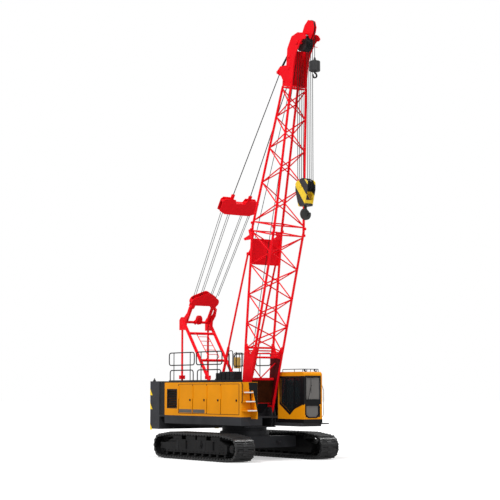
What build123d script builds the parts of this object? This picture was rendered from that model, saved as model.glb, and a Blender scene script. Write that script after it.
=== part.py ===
from build123d import *
import os
from math import copysign, cos, radians, sin

# Crawler crane with a lattice boom.
# The origin is on the ground under the slewing axis, +X points forward along the boom, +Y to the cab's side.
# Lengths are in millimetres.

os.makedirs("parts", exist_ok=True)

# Clearances
seat_gap = 0.3
pin_clearance = 1.0
lug_clearance = 10.0
seam = 8.0

# Tracks
gauge = 3590.0
shoe_width = 760.0
track_length = 5415.0
track_height = 963.0
lug_height = 30.0
shoe_thickness = 44.0
shoe_pitch = 190.0
shoe_groove = 20.0
link_height = 78.0
link_width = 230.0
end_radius = 392.0
end_rise = 32.0
low_radius = 140.0
low_reach = 1950.0
top_radius = 160.0
top_reach = 1560.0
sprocket_teeth = 11
tooth_depth = 34.0
wheel_width = 130.0
axle_radius = 60.0
roller_radius = 92.0
roller_count = 9
roller_span = 3760.0
carrier_radius = 68.0
carrier_reach = 800.0

# Track frames and car body
frame_width = 600.0
frame_top = 704.0
frame_bottom = 250.0
frame_reach = 1940.0
car_beam_width = 520.0
car_beam_height = 400.0
car_beam_reach = 820.0
car_radius = 900.0
car_top = 990.0
ring_radius = 800.0
ring_bore = 620.0
ring_height = 70.0
eye_half = 700.0
eye_z = 620.0
eye_reach = 90.0
eye_outer = 80.0
eye_bore = 35.0
eye_thickness = 50.0

# Upperworks
platform_bottom = 1130.0
wing_bottom = 1223.0
deck_height = 1520.0
wing_half = 1500.0
web_thickness = 36.0
tail_rear = -3420.0
house_rear = -3040.0
house_front = 1990.0
house_top = 2714.0
house_inner = 820.0
house_left_front = 1060.0
wall = 45.0
door_bottom = deck_height + 80.0
door_top = house_top - 64.0
right_seams = (-2070.0, -1120.0, -190.0, 700.0, 1850.0)
left_seams = (-2070.0, -1120.0, -190.0, 960.0)
grille_rear = -2880.0
grille_front = -2170.0
grille_bottom = deck_height + 250.0
grille_top = house_top - 234.0
hinge_radius = 13.0
hinge_offset = 16.0
weight_rear = -4145.0
weight_bottom = 994.0
weight_top = 2768.0
slab_joints = (1560.0, 2170.0)
winches = ((-1150.0, 1900.0, 230.0), (-1900.0, 1900.0, 230.0), (-2600.0, 1860.0, 200.0))
drum_half = 380.0
drum_flange = 90.0
drum_shaft = 50.0

# Cab
cab_inner = 700.0
cab_rear = 1090.0
cab_front = 2620.0
cab_bottom = 1300.0
cab_top = 3080.0
cab_wall = 50.0
cab_corner = 120.0
glass = 8.0

# Boom, measured between the centres of its chords
foot_x = 793.0
foot_z = 1719.0
boom_angle = 78.57
foot_width = 1161.0
foot_depth = 224.0
joint_at = 6480.0
joint_width = 1278.0
joint_depth = 1311.0
head_at = 11475.0
head_width = 652.0
head_depth = 470.0
tip_at = 13000.0
chord_radius = 44.0
lace_radius = 24.0
leg_plate_end = 2140.0
leg_plate_lap = 200.0
frame_inset = 160.0
butt_taper = 1.07
top_taper = 0.9
foot_plate = 70.0
foot_pin_radius = 50.0
head_sheave_offset = -320.0
head_sheave_radius = 285.0
sheave_groove = 22.0
sheave_lip = 6.0
sheave_floor = 8.0
sheave_half = 25.0
sheave_rows = (-120.0, -40.0, 40.0, 120.0)
aux_at = 13590.0
aux_offset = -560.0
aux_radius = 215.0
pendant_at = 11950.0
pendant_offset = 620.0
pendant_half = 240.0

# Gantry and suspension
gantry_x = -3200.0
gantry_z = 5000.0
gantry_half = 580.0
gantry_leg = 120.0
gantry_link = 80.0
leg_tongue = 70.0
leg_foot_x = -680.0
leg_foot_z = 1850.0
link_x = -3300.0
link_foot_z = 2740.0
gantry_shares = (0.14, 0.465)
lower_spreader_at = 800.0
upper_spreader_at = 5080.0
upper_spreader_half = 790.0
lower_arch_side = 400.0
lower_arch_radius = 200.0
lower_arch_rise = 330.0
lower_base = 785.0
lower_link = 470.0
lower_link_end = 700.0
rope_radius = 11.0
rope_level = 50.0
rope_stop = 300.0
upper_wheel_y = 450.0
upper_wheel_radius = 176.0
lower_wheel_y = 360.0
lower_wheel_radius = 151.0
wheel_pin = 30.0
spreader_half_gap = 85.0
spreader_plate = 20.0
spreader_height = 240.0
pendant_lug = 370.0
pendant_lug_half = 380.0
pendant_radius = 16.0

# Backstops
backstop_x = -713.0
backstop_z = 2250.0
backstop_pin_radius = 26.0
backstop_eye = 62.0
backstop_at = 5480.0
backstop_offset = 745.0
sleeve_length = 1700.0
sleeve_start = 130.0
tube_start = 220.0
boom_lug_half = 600.0
sleeve_radius = 50.0
stop_radius = 36.0

# Hooks
block_pin_z = 9390.0
block_half = 335.0
block_thickness = 330.0
hook_eye_z = 8440.0
hook_radius = 205.0
hook_bore = 94.0
hook_half = 42.0
block_rise = 215.0
block_drop = 680.0
ball_top = 13800.0
ball_radius = 188.0
ball_height = 360.0
ball_eye_z = 13170.0

# Directions of the boom and of its suspension
along = Vector(cos(radians(boom_angle)), 0, sin(radians(boom_angle)))
behind = Vector(-sin(radians(boom_angle)), 0, cos(radians(boom_angle)))
foot = Vector(foot_x, 0, foot_z)
across = Vector(0, 1, 0)


def on_boom(distance, offset=0.0, side=0.0):
    """A point at a distance from the foot pin, behind the boom's axis by offset, at side along Y."""
    return foot + along * distance + behind * offset + Vector(0, side, 0)


gantry_pin = Vector(gantry_x, 0, gantry_z)
pendant_pin = on_boom(pendant_at, pendant_offset)
stay = (pendant_pin - gantry_pin).normalized()
stay_side = Vector(-stay.Z, 0, stay.X)
stay_length = (pendant_pin - gantry_pin).length


def on_stay(distance, offset=0.0, side=0.0):
    """A point on the line from the gantry's head to the pendants' pin."""
    return gantry_pin + stay * distance + stay_side * offset + Vector(0, side, 0)


boom_plane = Plane(origin=foot, x_dir=along, z_dir=(0, -1, 0))
stay_plane = Plane(origin=gantry_pin, x_dir=(0, 1, 0), z_dir=-stay_side)


def rod(start, end, radius, sides=6, corner=None):
    """A straight bar between two points, as a prism of few faces with one corner toward a direction."""
    start, end = Vector(*start), Vector(*end)
    run = end - start
    with BuildPart() as piece:
        with BuildSketch(Plane(origin=start, x_dir=corner, z_dir=run)):
            RegularPolygon(radius, sides)
        extrude(amount=run.length)
    return piece.part


def block(low, high):
    """A plate or beam between two corners."""
    size = [b - a for a, b in zip(low, high)]
    centre = tuple((a + b) / 2 for a, b in zip(low, high))
    with BuildPart() as piece:
        with Locations(centre):
            Box(*size)
    return piece.part


def plate(plane, points, low, high):
    """A flat plate of the outline points, between two distances along the plane's normal."""
    with BuildPart() as piece:
        with BuildSketch(plane.offset(low)):
            with BuildLine():
                Polyline(*points, close=True)
            make_face()
        extrude(amount=high - low)
    return piece.part


def cylinder_y(x, z, radius, low, high):
    """A round piece whose axis lies along Y."""
    with BuildPart() as piece:
        with BuildSketch(Plane.XZ.offset(-low)):
            with Locations((x, z)):
                Circle(radius)
        extrude(amount=-(high - low))
    return piece.part


def sheave(centre, axle, radius, low, high, bore):
    """A rope wheel with a groove, between two distances along its axle."""
    radial = Vector(1, 0, 0) if abs(axle.Y) > 0.5 else Vector(0, 1, 0)
    with BuildPart() as wheel:
        with BuildSketch(Plane(origin=centre, x_dir=radial, z_dir=radial.cross(axle))):
            with BuildLine():
                Polyline(
                    (bore, low),
                    (radius, low),
                    (radius, low + sheave_lip),
                    (radius - sheave_groove, (low + high) / 2 - sheave_floor),
                    (radius - sheave_groove, (low + high) / 2 + sheave_floor),
                    (radius, high - sheave_lip),
                    (radius, high),
                    (bore, high),
                    close=True,
                )
            make_face()
        revolve(axis=Axis(centre, axle))
    return wheel.part


def save(part, name):
    part.label = name
    export_step(part, "parts/" + name + ".step")


# Track loops: a hull about the end wheels, the rollers and the carriers, with every shoe in its outline
end_x = track_length / 2 - lug_height - end_radius
end_z = lug_height + end_radius + end_rise
link_radius = end_radius - shoe_thickness - link_height
rail_low = lug_height + shoe_thickness + link_height
rail_high = track_height - lug_height - shoe_thickness - link_height

with BuildSketch() as loop_hull:
    with Locations((-end_x, end_z), (end_x, end_z)):
        Circle(end_radius)
    with Locations((-low_reach, lug_height + low_radius), (low_reach, lug_height + low_radius)):
        Circle(low_radius)
    with Locations(
        (-top_reach, track_height - lug_height - top_radius), (top_reach, track_height - lug_height - top_radius)
    ):
        Circle(top_radius)
    make_hull()

loop_wire = loop_hull.sketch.faces().sort_by(Axis.Z)[0].outer_wire()
shoe_count = round(loop_wire.length / shoe_pitch)
shoe_form = ((0.0, -shoe_groove), (0.09, 0.0), (0.36, 0.0), (0.42, lug_height), (0.6, lug_height), (0.66, 0.0), (0.91, 0.0))


def loop_points(form):
    """Points round the loop, one pattern of shares and heights for each shoe."""
    points = []
    for shoe in range(shoe_count):
        for share, height in form:
            spot = (shoe + share) / shoe_count
            here = loop_wire.position_at(spot)
            run = loop_wire.tangent_at(spot)
            outward = Vector(run.Y, -run.X)
            if outward.dot(here - Vector(0, track_height / 2)) < 0:
                outward = -outward
            spot_at = here + outward * height
            points.append((spot_at.X, spot_at.Y))
    return points


shoe_outline = loop_points(shoe_form)
shoe_inside = loop_points(((0.0, -shoe_thickness),))
link_outline = loop_points(((0.5, -shoe_thickness / 2),))


def track(side):
    """One track: wide shoes on a narrower chain of links."""
    middle = Plane.XZ.offset(-side * gauge / 2)
    with BuildPart() as loop:
        with BuildSketch(middle):
            with BuildLine():
                Polyline(*shoe_outline, close=True)
            make_face()
            with BuildLine():
                Polyline(*shoe_inside, close=True)
            make_face(mode=Mode.SUBTRACT)
        extrude(amount=shoe_width / 2, both=True)
        with BuildSketch(middle):
            with BuildLine():
                Polyline(*link_outline, close=True)
            make_face()
            with BuildLine():
                add(loop_wire.offset_2d(-shoe_thickness - link_height))
            make_face(mode=Mode.SUBTRACT)
        extrude(amount=link_width / 2, both=True)
    return loop.part


save(track(-1), "track_right")
save(track(1), "track_left")


def sprocket(side):
    """A toothed drive wheel with the hub of its final drive."""
    middle = Plane.XZ.offset(-side * gauge / 2)
    outer = link_radius - seat_gap
    with BuildPart() as wheel:
        with BuildSketch(middle):
            with Locations((end_x, end_z)):
                Circle(outer)
                with PolarLocations(outer, sprocket_teeth):
                    Circle(tooth_depth * 0.8, mode=Mode.SUBTRACT)
        extrude(amount=wheel_width / 2, both=True)
        with BuildSketch(Plane.XZ.offset(-side * (gauge / 2 + wheel_width / 2))):
            with Locations((end_x, end_z)):
                Circle(outer * 0.62)
        extrude(amount=-side * (frame_width / 2 - wheel_width / 2), taper=8)
    return wheel.part


def idler(side):
    """A plain wheel with a rim on each side of its rail."""
    middle = Plane.XZ.offset(-side * gauge / 2)
    outer = link_radius - seat_gap
    with BuildPart() as wheel:
        with BuildSketch(middle):
            with Locations((-end_x, end_z)):
                Circle(outer)
        extrude(amount=wheel_width / 2, both=True)
        with BuildSketch(middle):
            with Locations((-end_x, end_z)):
                Circle(axle_radius)
        extrude(amount=frame_width / 2 - 30, both=True)
    return wheel.part


with BuildPart() as drive_sprockets:
    add([sprocket(-1), sprocket(1)])
save(drive_sprockets.part, "drive_sprockets")

with BuildPart() as idlers:
    add([idler(-1), idler(1)])
save(idlers.part, "idlers")

roller_z = rail_low + roller_radius + seat_gap
carrier_z = rail_high - carrier_radius - seat_gap
roller_slot = 150.0
rollers = []
for side in (-1, 1):
    low_y = side * gauge / 2 - roller_slot + seat_gap
    high_y = side * gauge / 2 + roller_slot - seat_gap
    for number in range(roller_count):
        roller_x = -roller_span / 2 + roller_span * number / (roller_count - 1)
        rollers.append(rod((roller_x, low_y, roller_z), (roller_x, high_y, roller_z), roller_radius, 12))
    for carrier_x in (-carrier_reach, carrier_reach):
        rollers.append(
            rod((carrier_x, low_y + 40, carrier_z), (carrier_x, high_y - 40, carrier_z), carrier_radius, 10)
        )
with BuildPart() as track_rollers:
    add(rollers)
save(track_rollers.part, "track_rollers")


slot_middle = -1560.0
slot_length = 620.0
slot_height = 70.0
slot_depth = 40.0
slot_z = 620.0
hub_x = 330.0
hub_z = 554.0
hub_radius = 150.0
boss_height = 26.0
rib_count = 4
rib_x = 1660.0
rib_z = 340.0
rib_step = 85.0
rib_length = 330.0
rib_height = 18.0


def track_frame(side):
    """A box beam with a channel for the rollers, a fork for the idler and cheeks for the drive."""
    middle = side * gauge / 2
    outline = (
        (-frame_reach, frame_bottom),
        (frame_reach, frame_bottom),
        (frame_reach + 60, frame_bottom + 120),
        (frame_reach + 60, frame_top - 150),
        (frame_reach - 340, frame_top),
        (-frame_reach + 340, frame_top),
        (-frame_reach - 60, frame_top - 150),
        (-frame_reach - 60, frame_bottom + 120),
    )
    fork = (
        (-end_x - 60, end_z - 110),
        (-frame_reach, end_z - 110),
        (-frame_reach, end_z + 110),
        (-end_x - 60, end_z + 110),
    )
    with BuildPart() as beam:
        with BuildSketch(Plane.XZ.offset(-middle)):
            with BuildLine():
                Polyline(*outline, close=True)
            make_face()
        extrude(amount=frame_width / 2, both=True)
        channel_top = roller_z + roller_radius + 12
        with Locations((0, middle, (frame_bottom - 20 + channel_top) / 2)):
            Box(2 * frame_reach + 200, 2 * roller_slot, channel_top - frame_bottom + 20, mode=Mode.SUBTRACT)
        for carrier_x in (-carrier_reach, carrier_reach):
            with Locations((carrier_x, middle, frame_top)):
                Box(3 * carrier_radius, 2 * roller_slot - 60, carrier_radius, mode=Mode.SUBTRACT)
            for cheek in (-1, 1):
                with Locations((carrier_x, middle + cheek * (roller_slot + 10), (frame_top + carrier_z + 40) / 2)):
                    Box(110, 20, carrier_z + 40 - frame_top + 10)
        for cheek in (-1, 1):
            with BuildSketch(Plane.XZ.offset(-middle - cheek * (frame_width / 2 - 45))):
                with BuildLine():
                    Polyline(*fork, close=True)
                make_face()
                with Locations((-end_x, end_z)):
                    Circle(axle_radius + seat_gap, mode=Mode.SUBTRACT)
            extrude(amount=30, both=True)
        for slot_x in (-560, 1180):
            with Locations((slot_x, middle + side * frame_width / 2, (frame_bottom + frame_top) / 2 + 40)):
                Box(130, 70, 300, mode=Mode.SUBTRACT)
        with Locations((slot_middle, middle + side * frame_width / 2, slot_z)):
            Box(slot_length, 2 * slot_depth, slot_height, mode=Mode.SUBTRACT)
        with BuildSketch(Plane.XZ.offset(-middle - side * frame_width / 2)):
            with Locations((hub_x, hub_z)):
                RegularPolygon(hub_radius, 6)
        extrude(amount=-side * boss_height)
        with BuildSketch(Plane.XZ.offset(-middle - side * (frame_width / 2 + boss_height))):
            with Locations((hub_x, hub_z)):
                Circle(hub_radius * 0.6)
        extrude(amount=-side * boss_height, taper=20)
        for number in range(rib_count):
            with Locations((rib_x, middle + side * frame_width / 2, rib_z + rib_step * number)):
                Box(rib_length, 2 * rib_height, rib_height)
    return beam.part


save(track_frame(-1), "track_frame_right")
save(track_frame(1), "track_frame_left")

# Car body: a drum on two cross beams that reach the track frames
frame_inner = gauge / 2 - frame_width / 2
with BuildPart() as carbody:
    for beam_x in (-car_beam_reach, car_beam_reach):
        with Locations((beam_x, 0, 420 + car_beam_height / 2)):
            Box(car_beam_width, 2 * (frame_inner - seat_gap), car_beam_height)
    with BuildSketch(Plane.XY.offset(450)):
        Rectangle(2 * car_beam_reach, 1700)
    extrude(amount=370)
    with BuildSketch(Plane.XY.offset(820)):
        Circle(car_radius)
    extrude(amount=car_top - 820, taper=10)
    eye_x = car_beam_reach + car_beam_width / 2
    with BuildSketch(Plane.XY.offset(eye_z)):
        for end in (-1, 1):
            with Locations((end * eye_x, -eye_half), (end * eye_x, eye_half)):
                SlotOverall(2 * eye_reach + 2 * eye_outer, 2 * eye_outer)
            with Locations((end * (eye_x + eye_reach), -eye_half), (end * (eye_x + eye_reach), eye_half)):
                Circle(eye_bore, mode=Mode.SUBTRACT)
    extrude(amount=eye_thickness / 2, both=True)
save(carbody.part, "carbody")

with BuildPart() as slew_ring:
    with BuildSketch(Plane.XY.offset(car_top)):
        Circle(ring_radius)
        Circle(ring_bore, mode=Mode.SUBTRACT)
    extrude(amount=ring_height)
save(slew_ring.part, "slew_ring")

# Platform: two webs that carry the boom, gantry and winches, with a wing under each house
ring_top = car_top + ring_height + seat_gap
web_outline = (
    (tail_rear, wing_bottom),
    (tail_rear + 500, platform_bottom),
    (foot_x + 160, platform_bottom),
    (foot_x + 240, foot_z - 180),
    (foot_x + 130, foot_z + 120),
    (foot_x - 130, foot_z + 120),
    (foot_x - 420, deck_height + 80),
    (leg_foot_x + 350, deck_height + 80),
    (leg_foot_x + 150, leg_foot_z + 120),
    (leg_foot_x - 150, leg_foot_z + 120),
    (leg_foot_x - 500, deck_height + 40),
    (tail_rear, deck_height + 40),
)
lug_near = foot_width / 2 - foot_plate / 2 - lug_clearance
lug_far = foot_width / 2 + foot_plate / 2 + lug_clearance
web_planes = [(lug_near - web_thickness, lug_near), (lug_far, lug_far + web_thickness)]
plates = []
for low, high in web_planes:
    plates.append(plate(Plane.XZ.offset(-high), web_outline, 0, high - low))
    plates.append(plate(Plane.XZ.offset(low), web_outline, 0, high - low))
tail_plates = [
    block((link_x - 90, s * gantry_half - 90, deck_height), (link_x + 90, s * gantry_half - 62, link_foot_z + 60))
    for s in (-1, 1)
] + [
    block((link_x - 90, s * gantry_half + 62, deck_height), (link_x + 90, s * gantry_half + 90, link_foot_z + 60))
    for s in (-1, 1)
]
backstop_lug = (
    (backstop_x - 160, deck_height),
    (backstop_x + 160, deck_height),
    (backstop_x + 70, backstop_z + 60),
    (backstop_x - 70, backstop_z + 60),
)
for winch_x, winch_z, winch_radius in winches:
    bearing = (
        (winch_x - 260, deck_height),
        (winch_x + 260, deck_height),
        (winch_x + 80, winch_z + 90),
        (winch_x - 80, winch_z + 90),
    )
    low, high = web_planes[0]
    plates.append(plate(Plane.XZ.offset(-high), bearing, 0, high - low))
    plates.append(plate(Plane.XZ.offset(low), bearing, 0, high - low))
for low, high in web_planes[1:]:
    plates.append(plate(Plane.XZ.offset(-high), backstop_lug, 0, high - low))
    plates.append(plate(Plane.XZ.offset(low), backstop_lug, 0, high - low))
backstop_half = lug_far + web_thickness / 2
stub_pins = [
    cylinder_y(backstop_x, backstop_z, backstop_pin_radius, s * backstop_half - 55, s * backstop_half + 55) for s in (-1, 1)
]
with BuildPart() as platform:
    with BuildSketch(Plane.XY.offset(ring_top)):
        Circle(ring_radius)
        Circle(ring_bore, mode=Mode.SUBTRACT)
    extrude(amount=platform_bottom - ring_top + 30)
    add(block((tail_rear, -lug_far - web_thickness, platform_bottom), (1000, lug_far + web_thickness, platform_bottom + 40)))
    add(block((tail_rear, -wing_half, deck_height - 60), (house_left_front, wing_half, deck_height)))
    add(block((house_rear, -wing_half, wing_bottom), (house_front, -wing_half + 60, deck_height)))
    add(block((house_rear, -wing_half, deck_height - 60), (house_front, -lug_far, deck_height)))
    add(block((house_rear, wing_half - 60, wing_bottom), (house_left_front, wing_half, deck_height)))
    add(block((house_left_front - 100, lug_far, 1180), (cab_front - 60, wing_half, cab_bottom - seat_gap)))
    add(block((cab_rear + 10, wing_half - 60, 1250), (cab_front, wing_half + 300, 1290)))
    add(block((house_front - 60, -wing_half, wing_bottom), (house_front, -lug_far, deck_height)))
    add(block((house_rear, -wing_half, wing_bottom), (house_rear + 60, wing_half, deck_height)))
    add(plates + tail_plates + stub_pins)
    for low, high in ((foot_x, foot_z), (leg_foot_x, leg_foot_z)):
        add([cylinder_y(low, high, foot_pin_radius, s * foot_width / 2 - 100, s * foot_width / 2 + 100) for s in (-1, 1)])
save(platform.part, "platform")

# Counterweight: slabs stacked behind the house
slab_levels = (weight_bottom,) + slab_joints + (weight_top,)
slabs = []
for low, high in zip(slab_levels[:-1], slab_levels[1:]):
    with BuildPart() as slab:
        with Locations(((weight_rear + tail_rear - seat_gap) / 2, 0, (low + high) / 2)):
            Box(tail_rear - seat_gap - weight_rear, 2 * wing_half, high - low - seat_gap)
        chamfer(slab.edges().filter_by(Axis.Z).group_by(Axis.X)[0], 60)
    slabs.append(slab.part)
with BuildPart() as counterweight:
    add(slabs)
save(counterweight.part, "counterweight")


def hinge_barrel(x, side, low, high):
    """A long hinge barrel on the outside of a wall, with its leaf."""
    with BuildPart() as barrel:
        with BuildSketch(Plane.XY.offset(low)):
            with Locations((x, side * (wing_half + hinge_offset))):
                Circle(hinge_radius)
        extrude(amount=high - low)
    return barrel.part


def house(side, seams, front, with_grille):
    """A hollow machinery house with its door openings."""
    middle = (door_bottom + door_top) / 2
    barrels = []
    for rear in seams[:-1]:
        barrels.append(hinge_barrel(rear, side, door_bottom + 60, middle - seat_gap))
        barrels.append(
            block(
                (rear - 14, min(side * (wing_half - 1), side * (wing_half + 14)), door_bottom + 60),
                (rear, max(side * (wing_half - 1), side * (wing_half + 14)), middle - seat_gap),
            )
        )
    low_y, high_y = sorted((side * house_inner, side * wing_half))
    with BuildPart() as shell:
        add(block((house_rear, low_y, deck_height + seat_gap), (front, high_y, house_top)))
        add(
            block((house_rear + wall, low_y + wall, deck_height - 10), (front - wall, high_y - wall, house_top - wall)),
            mode=Mode.SUBTRACT,
        )
        for rear, ahead in zip(seams[:-1], seams[1:]):
            with Locations(((rear + ahead) / 2, side * wing_half, middle)):
                Box(ahead - rear - 30, 3 * wall, door_top - door_bottom, mode=Mode.SUBTRACT)
        if with_grille:
            with Locations(((grille_rear + grille_front) / 2, side * wing_half, (grille_bottom + grille_top) / 2)):
                Box(grille_front - grille_rear, 3 * wall, grille_top - grille_bottom, mode=Mode.SUBTRACT)
        add(barrels)
    return shell.part


def door(side, rear, ahead):
    """A door panel with the upper half of its hinge and a round latch."""
    middle = (door_bottom + door_top) / 2
    low_y, high_y = sorted((side * (wing_half - wall), side * wing_half))
    leaf = sorted((side * (wing_half + 4), side * (wing_half + 14)))
    pad = sorted((side * (wing_half - 1), side * (wing_half + 5)))
    barrel = hinge_barrel(rear, side, middle + seat_gap, door_top - 60)
    with BuildPart() as panel:
        add(
            block(
                (rear + 15 + seam, low_y, door_bottom + seam),
                (ahead - 15 - seam, high_y, door_top - seam),
            )
        )
        add(block((rear, leaf[0], middle + seat_gap), (rear + 60, leaf[1], door_top - 60)))
        add(block((rear + 30, pad[0], middle + seat_gap), (rear + 60, pad[1], door_top - 60)))
        add(barrel)
        with BuildSketch(Plane.XZ.offset(-side * wing_half)):
            with Locations((ahead - 160, middle - 40)):
                Circle(38)
        extrude(amount=-side * 8)
    return panel.part


save(house(-1, right_seams, house_front, True), "house_right")
save(house(1, left_seams, house_left_front, False), "house_left")
for number, (rear, ahead) in enumerate(zip(right_seams[:-1], right_seams[1:]), 1):
    save(door(-1, rear, ahead), f"door_right_{number}")
for number, (rear, ahead) in enumerate(zip(left_seams[:-1], left_seams[1:]), 1):
    save(door(1, rear, ahead), f"door_left_{number}")

# Radiator grille: sloped slats in a frame
slats = []
slat_count = 10
slat_step = (grille_top - grille_bottom - 80) / slat_count
for number in range(slat_count):
    slat_z = grille_bottom + 40 + slat_step * (number + 0.5)
    with BuildPart() as slat:
        with Locations(Location(((grille_rear + grille_front) / 2, -wing_half + 24, slat_z), (35, 0, 0))):
            Box(grille_front - grille_rear - 50, 8, slat_step * 0.8)
    slats.append(slat.part)
with BuildPart() as radiator_grille:
    add(
        block(
            (grille_rear + seat_gap, -wing_half, grille_bottom + seat_gap),
            (grille_front - seat_gap, -wing_half + wall, grille_top - seat_gap),
        )
    )
    add(
        block((grille_rear + 30, -wing_half - 10, grille_bottom + 30), (grille_front - 30, -wing_half + wall + 10, grille_top - 30)),
        mode=Mode.SUBTRACT,
    )
    add(slats)
save(radiator_grille.part, "radiator_grille")

save(block((-1900, -1330, deck_height + seat_gap), (-300, -960, house_top - 294)), "engine")

# Steps in front of the right house
step_low = -wing_half + 20
step_high = step_low + 380
step_levels = ((2370, 150), (2060, 260), (1750, 370))
tread_thickness = 30
treads = [
    block((house_front + seat_gap, step_low, level - tread_thickness), (house_front + reach, step_high, level))
    for level, reach in step_levels
]
stringer = (
    (house_front + seat_gap, 1460),
    (house_front + 370, 1460),
    (house_front + 370, 1660),
    (house_front + 90, 2420),
    (house_front + seat_gap, 2420),
)
with BuildPart() as access_steps:
    add(plate(Plane.XZ, stringer, -step_high - 24, -step_high))
    add(treads)
save(access_steps.part, "access_steps")

# Handrails along both edges of the deck
rail_radius = 19.0
rail_bend = 90.0
rail_y = wing_half - 40
rail_top = 3800.0
rail_low = 3345.0
guard_top = 3160.0
toe_height = 84.0
rail_frames = ((-2790.0, -1071.0, -2462.0, -1347.0), (-933.0, 732.0, -620.0, 430.0))
short_frames = ((1151.0, 1463.0, 3133.0, rail_top), (1500.0, 2018.0, 3263.0, 3710.0))
short_posts = (1190.0, 1424.0, 1760.0)


def bent_tube(corners, closed, radius=rail_radius):
    """A tube along a path with round corners."""
    with BuildPart() as tube:
        with BuildLine() as path:
            FilletPolyline(*corners, radius=rail_bend, close=closed)
        with BuildSketch(Plane(origin=path.line @ 0, z_dir=path.line % 0)):
            RegularPolygon(radius, 8)
        sweep()
    return tube.part


def rail_frame(side, rear, ahead, posts):
    """A closed upper frame on two posts, with a bent guard tube below it."""
    y = side * rail_y
    upper = ((rear, y, rail_low), (ahead, y, rail_low), (ahead, y, rail_top), (rear, y, rail_top))
    lower = ((rear + 70, y, house_top), (rear + 70, y, guard_top), (ahead - 70, y, guard_top), (ahead - 70, y, house_top))
    pieces = [bent_tube(upper, True), bent_tube(lower, False)]
    pieces += [rod((x, y, house_top), (x, y, rail_top), rail_radius) for x in posts]
    return pieces


rails = []
for rear, ahead, *posts in rail_frames:
    for side in (-1, 1):
        rails += rail_frame(side, rear, ahead, posts)
for rear, ahead, low, high in short_frames:
    y = -rail_y
    rails.append(bent_tube(((rear, y, low), (ahead, y, low), (ahead, y, high), (rear, y, high)), True))
rails += [rod((x, -rail_y, house_top), (x, -rail_y, 3700), rail_radius) for x in short_posts]
toe_y = (rail_y - rail_radius, rail_y + rail_radius)
rails.append(block((rail_frames[0][0], -toe_y[1], house_top), (house_front, -toe_y[0], house_top + toe_height)))
rails.append(block((rail_frames[0][0], toe_y[0], house_top), (rail_frames[1][1], toe_y[1], house_top + toe_height)))
rails.append(block((1151, -toe_y[0] - 5, 3204), (1463, -toe_y[0] + 110, 3557)))
cab_rail = ((1300, 760), (1990, 760), (2480, 760), (2480, 1100), (2480, 1440))
cab_rail_radius = 12.0
cab_rail_top = 3170.0
rails += [rod((x, y, cab_top), (x, y, cab_rail_top), cab_rail_radius) for x, y in cab_rail]
for start, end in ((0, 2), (2, 4)):
    rails.append(rod((*cab_rail[start], cab_rail_top), (*cab_rail[end], cab_rail_top), cab_rail_radius))
with BuildPart() as handrails:
    add(rails)
save(handrails.part, "handrails")

# Lockers on the roof of the right house
with BuildPart() as roof_boxes:
    for rear, ahead in ((-40, 720), (800, 1590)):
        with Locations(((rear + ahead) / 2, -1190, house_top + seat_gap)):
            Box(ahead - rear, 340, 380, align=(Align.CENTER, Align.CENTER, Align.MIN))
    fillet(roof_boxes.edges().group_by(Axis.Z)[-1], 18)
save(roof_boxes.part, "roof_boxes")

# Grab loop at the cab's front corner
grab_x = 2540.0
grab_bend = 60.0
with BuildPart() as grab_loop:
    with BuildLine() as grab_path:
        FilletPolyline(
            (grab_x, wing_half + seat_gap, 2760),
            (grab_x, 1629, 2430),
            (grab_x, 1625, 1560),
            (grab_x, wing_half + seat_gap, 1470),
            radius=grab_bend,
        )
    with BuildSketch(Plane(origin=grab_path.line @ 0, z_dir=grab_path.line % 0)):
        RegularPolygon(14, 8)
    sweep()
    split(bisect_by=Plane.XZ.offset(-wing_half - seat_gap), keep=Keep.BOTTOM)
save(grab_loop.part, "grab_loop")

# Gantry: an A-frame of legs and rear links under a head
gantry_head = (
    (gantry_x - 270, gantry_z - 300),
    (gantry_x + 160, gantry_z - 310),
    (gantry_x + 200, gantry_z + 40),
    (gantry_x + 390, gantry_z + 230),
    (gantry_x + 480, gantry_z + 490),
    (gantry_x + 400, gantry_z + 550),
    (gantry_x + 270, gantry_z + 330),
    (gantry_x + 60, gantry_z + 180),
    (gantry_x - 150, gantry_z + 190),
    (gantry_x - 270, gantry_z + 80),
)
gantry_bars = []
leg_knee_spot = (leg_foot_x + (gantry_x - leg_foot_x) * 0.1, leg_foot_z + (gantry_z - leg_foot_z) * 0.1)
for s in (-1, 1):
    y = s * gantry_half
    knee = (leg_knee_spot[0], y, leg_knee_spot[1])
    gantry_bars.append(rod((gantry_x, y, gantry_z), knee, gantry_leg / 2, 8))
    with BuildPart() as leg_foot:
        with BuildSketch(Plane.XZ.offset(-y)):
            with Locations((leg_foot_x, leg_foot_z)):
                Circle(95)
            with Locations(leg_knee_spot):
                Circle(gantry_leg / 2)
            make_hull()
        extrude(amount=leg_tongue / 2, both=True)
    gantry_bars.append(leg_foot.part)
    gantry_bars.append(rod((link_x, y, gantry_z - 100), (link_x, y, link_foot_z), gantry_link / 2, 8))
    gantry_bars.append(block((link_x - 75, y - 90, link_foot_z + 110), (link_x + 75, y + 90, link_foot_z + 250)))
    gantry_bars.append(plate(Plane.XZ, gantry_head, -y - 30, -y + 30))
leg_run = Vector(leg_foot_x - gantry_x, 0, leg_foot_z - gantry_z)
cross_tubes = [gantry_pin + leg_run * share for share in gantry_shares]
for spot in cross_tubes:
    gantry_bars.append(cylinder_y(spot.X, spot.Z, 50, -gantry_half, gantry_half))
gantry_bars.append(cylinder_y(gantry_x, gantry_z, 50, -gantry_half, gantry_half))
ladder_top = Vector(-2600, 0, 4510)
ladder_end = Vector(-1800, 0, 3670)
ladder_half = 230.0
ladder_y = -140.0
rung_count = 5
for s in (-1, 1):
    y = Vector(0, ladder_y + s * ladder_half, 0)
    for start, end in ((cross_tubes[0], ladder_top), (ladder_top, ladder_end), (ladder_end, cross_tubes[1])):
        gantry_bars.append(rod(start + y, end + y, 16))
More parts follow.
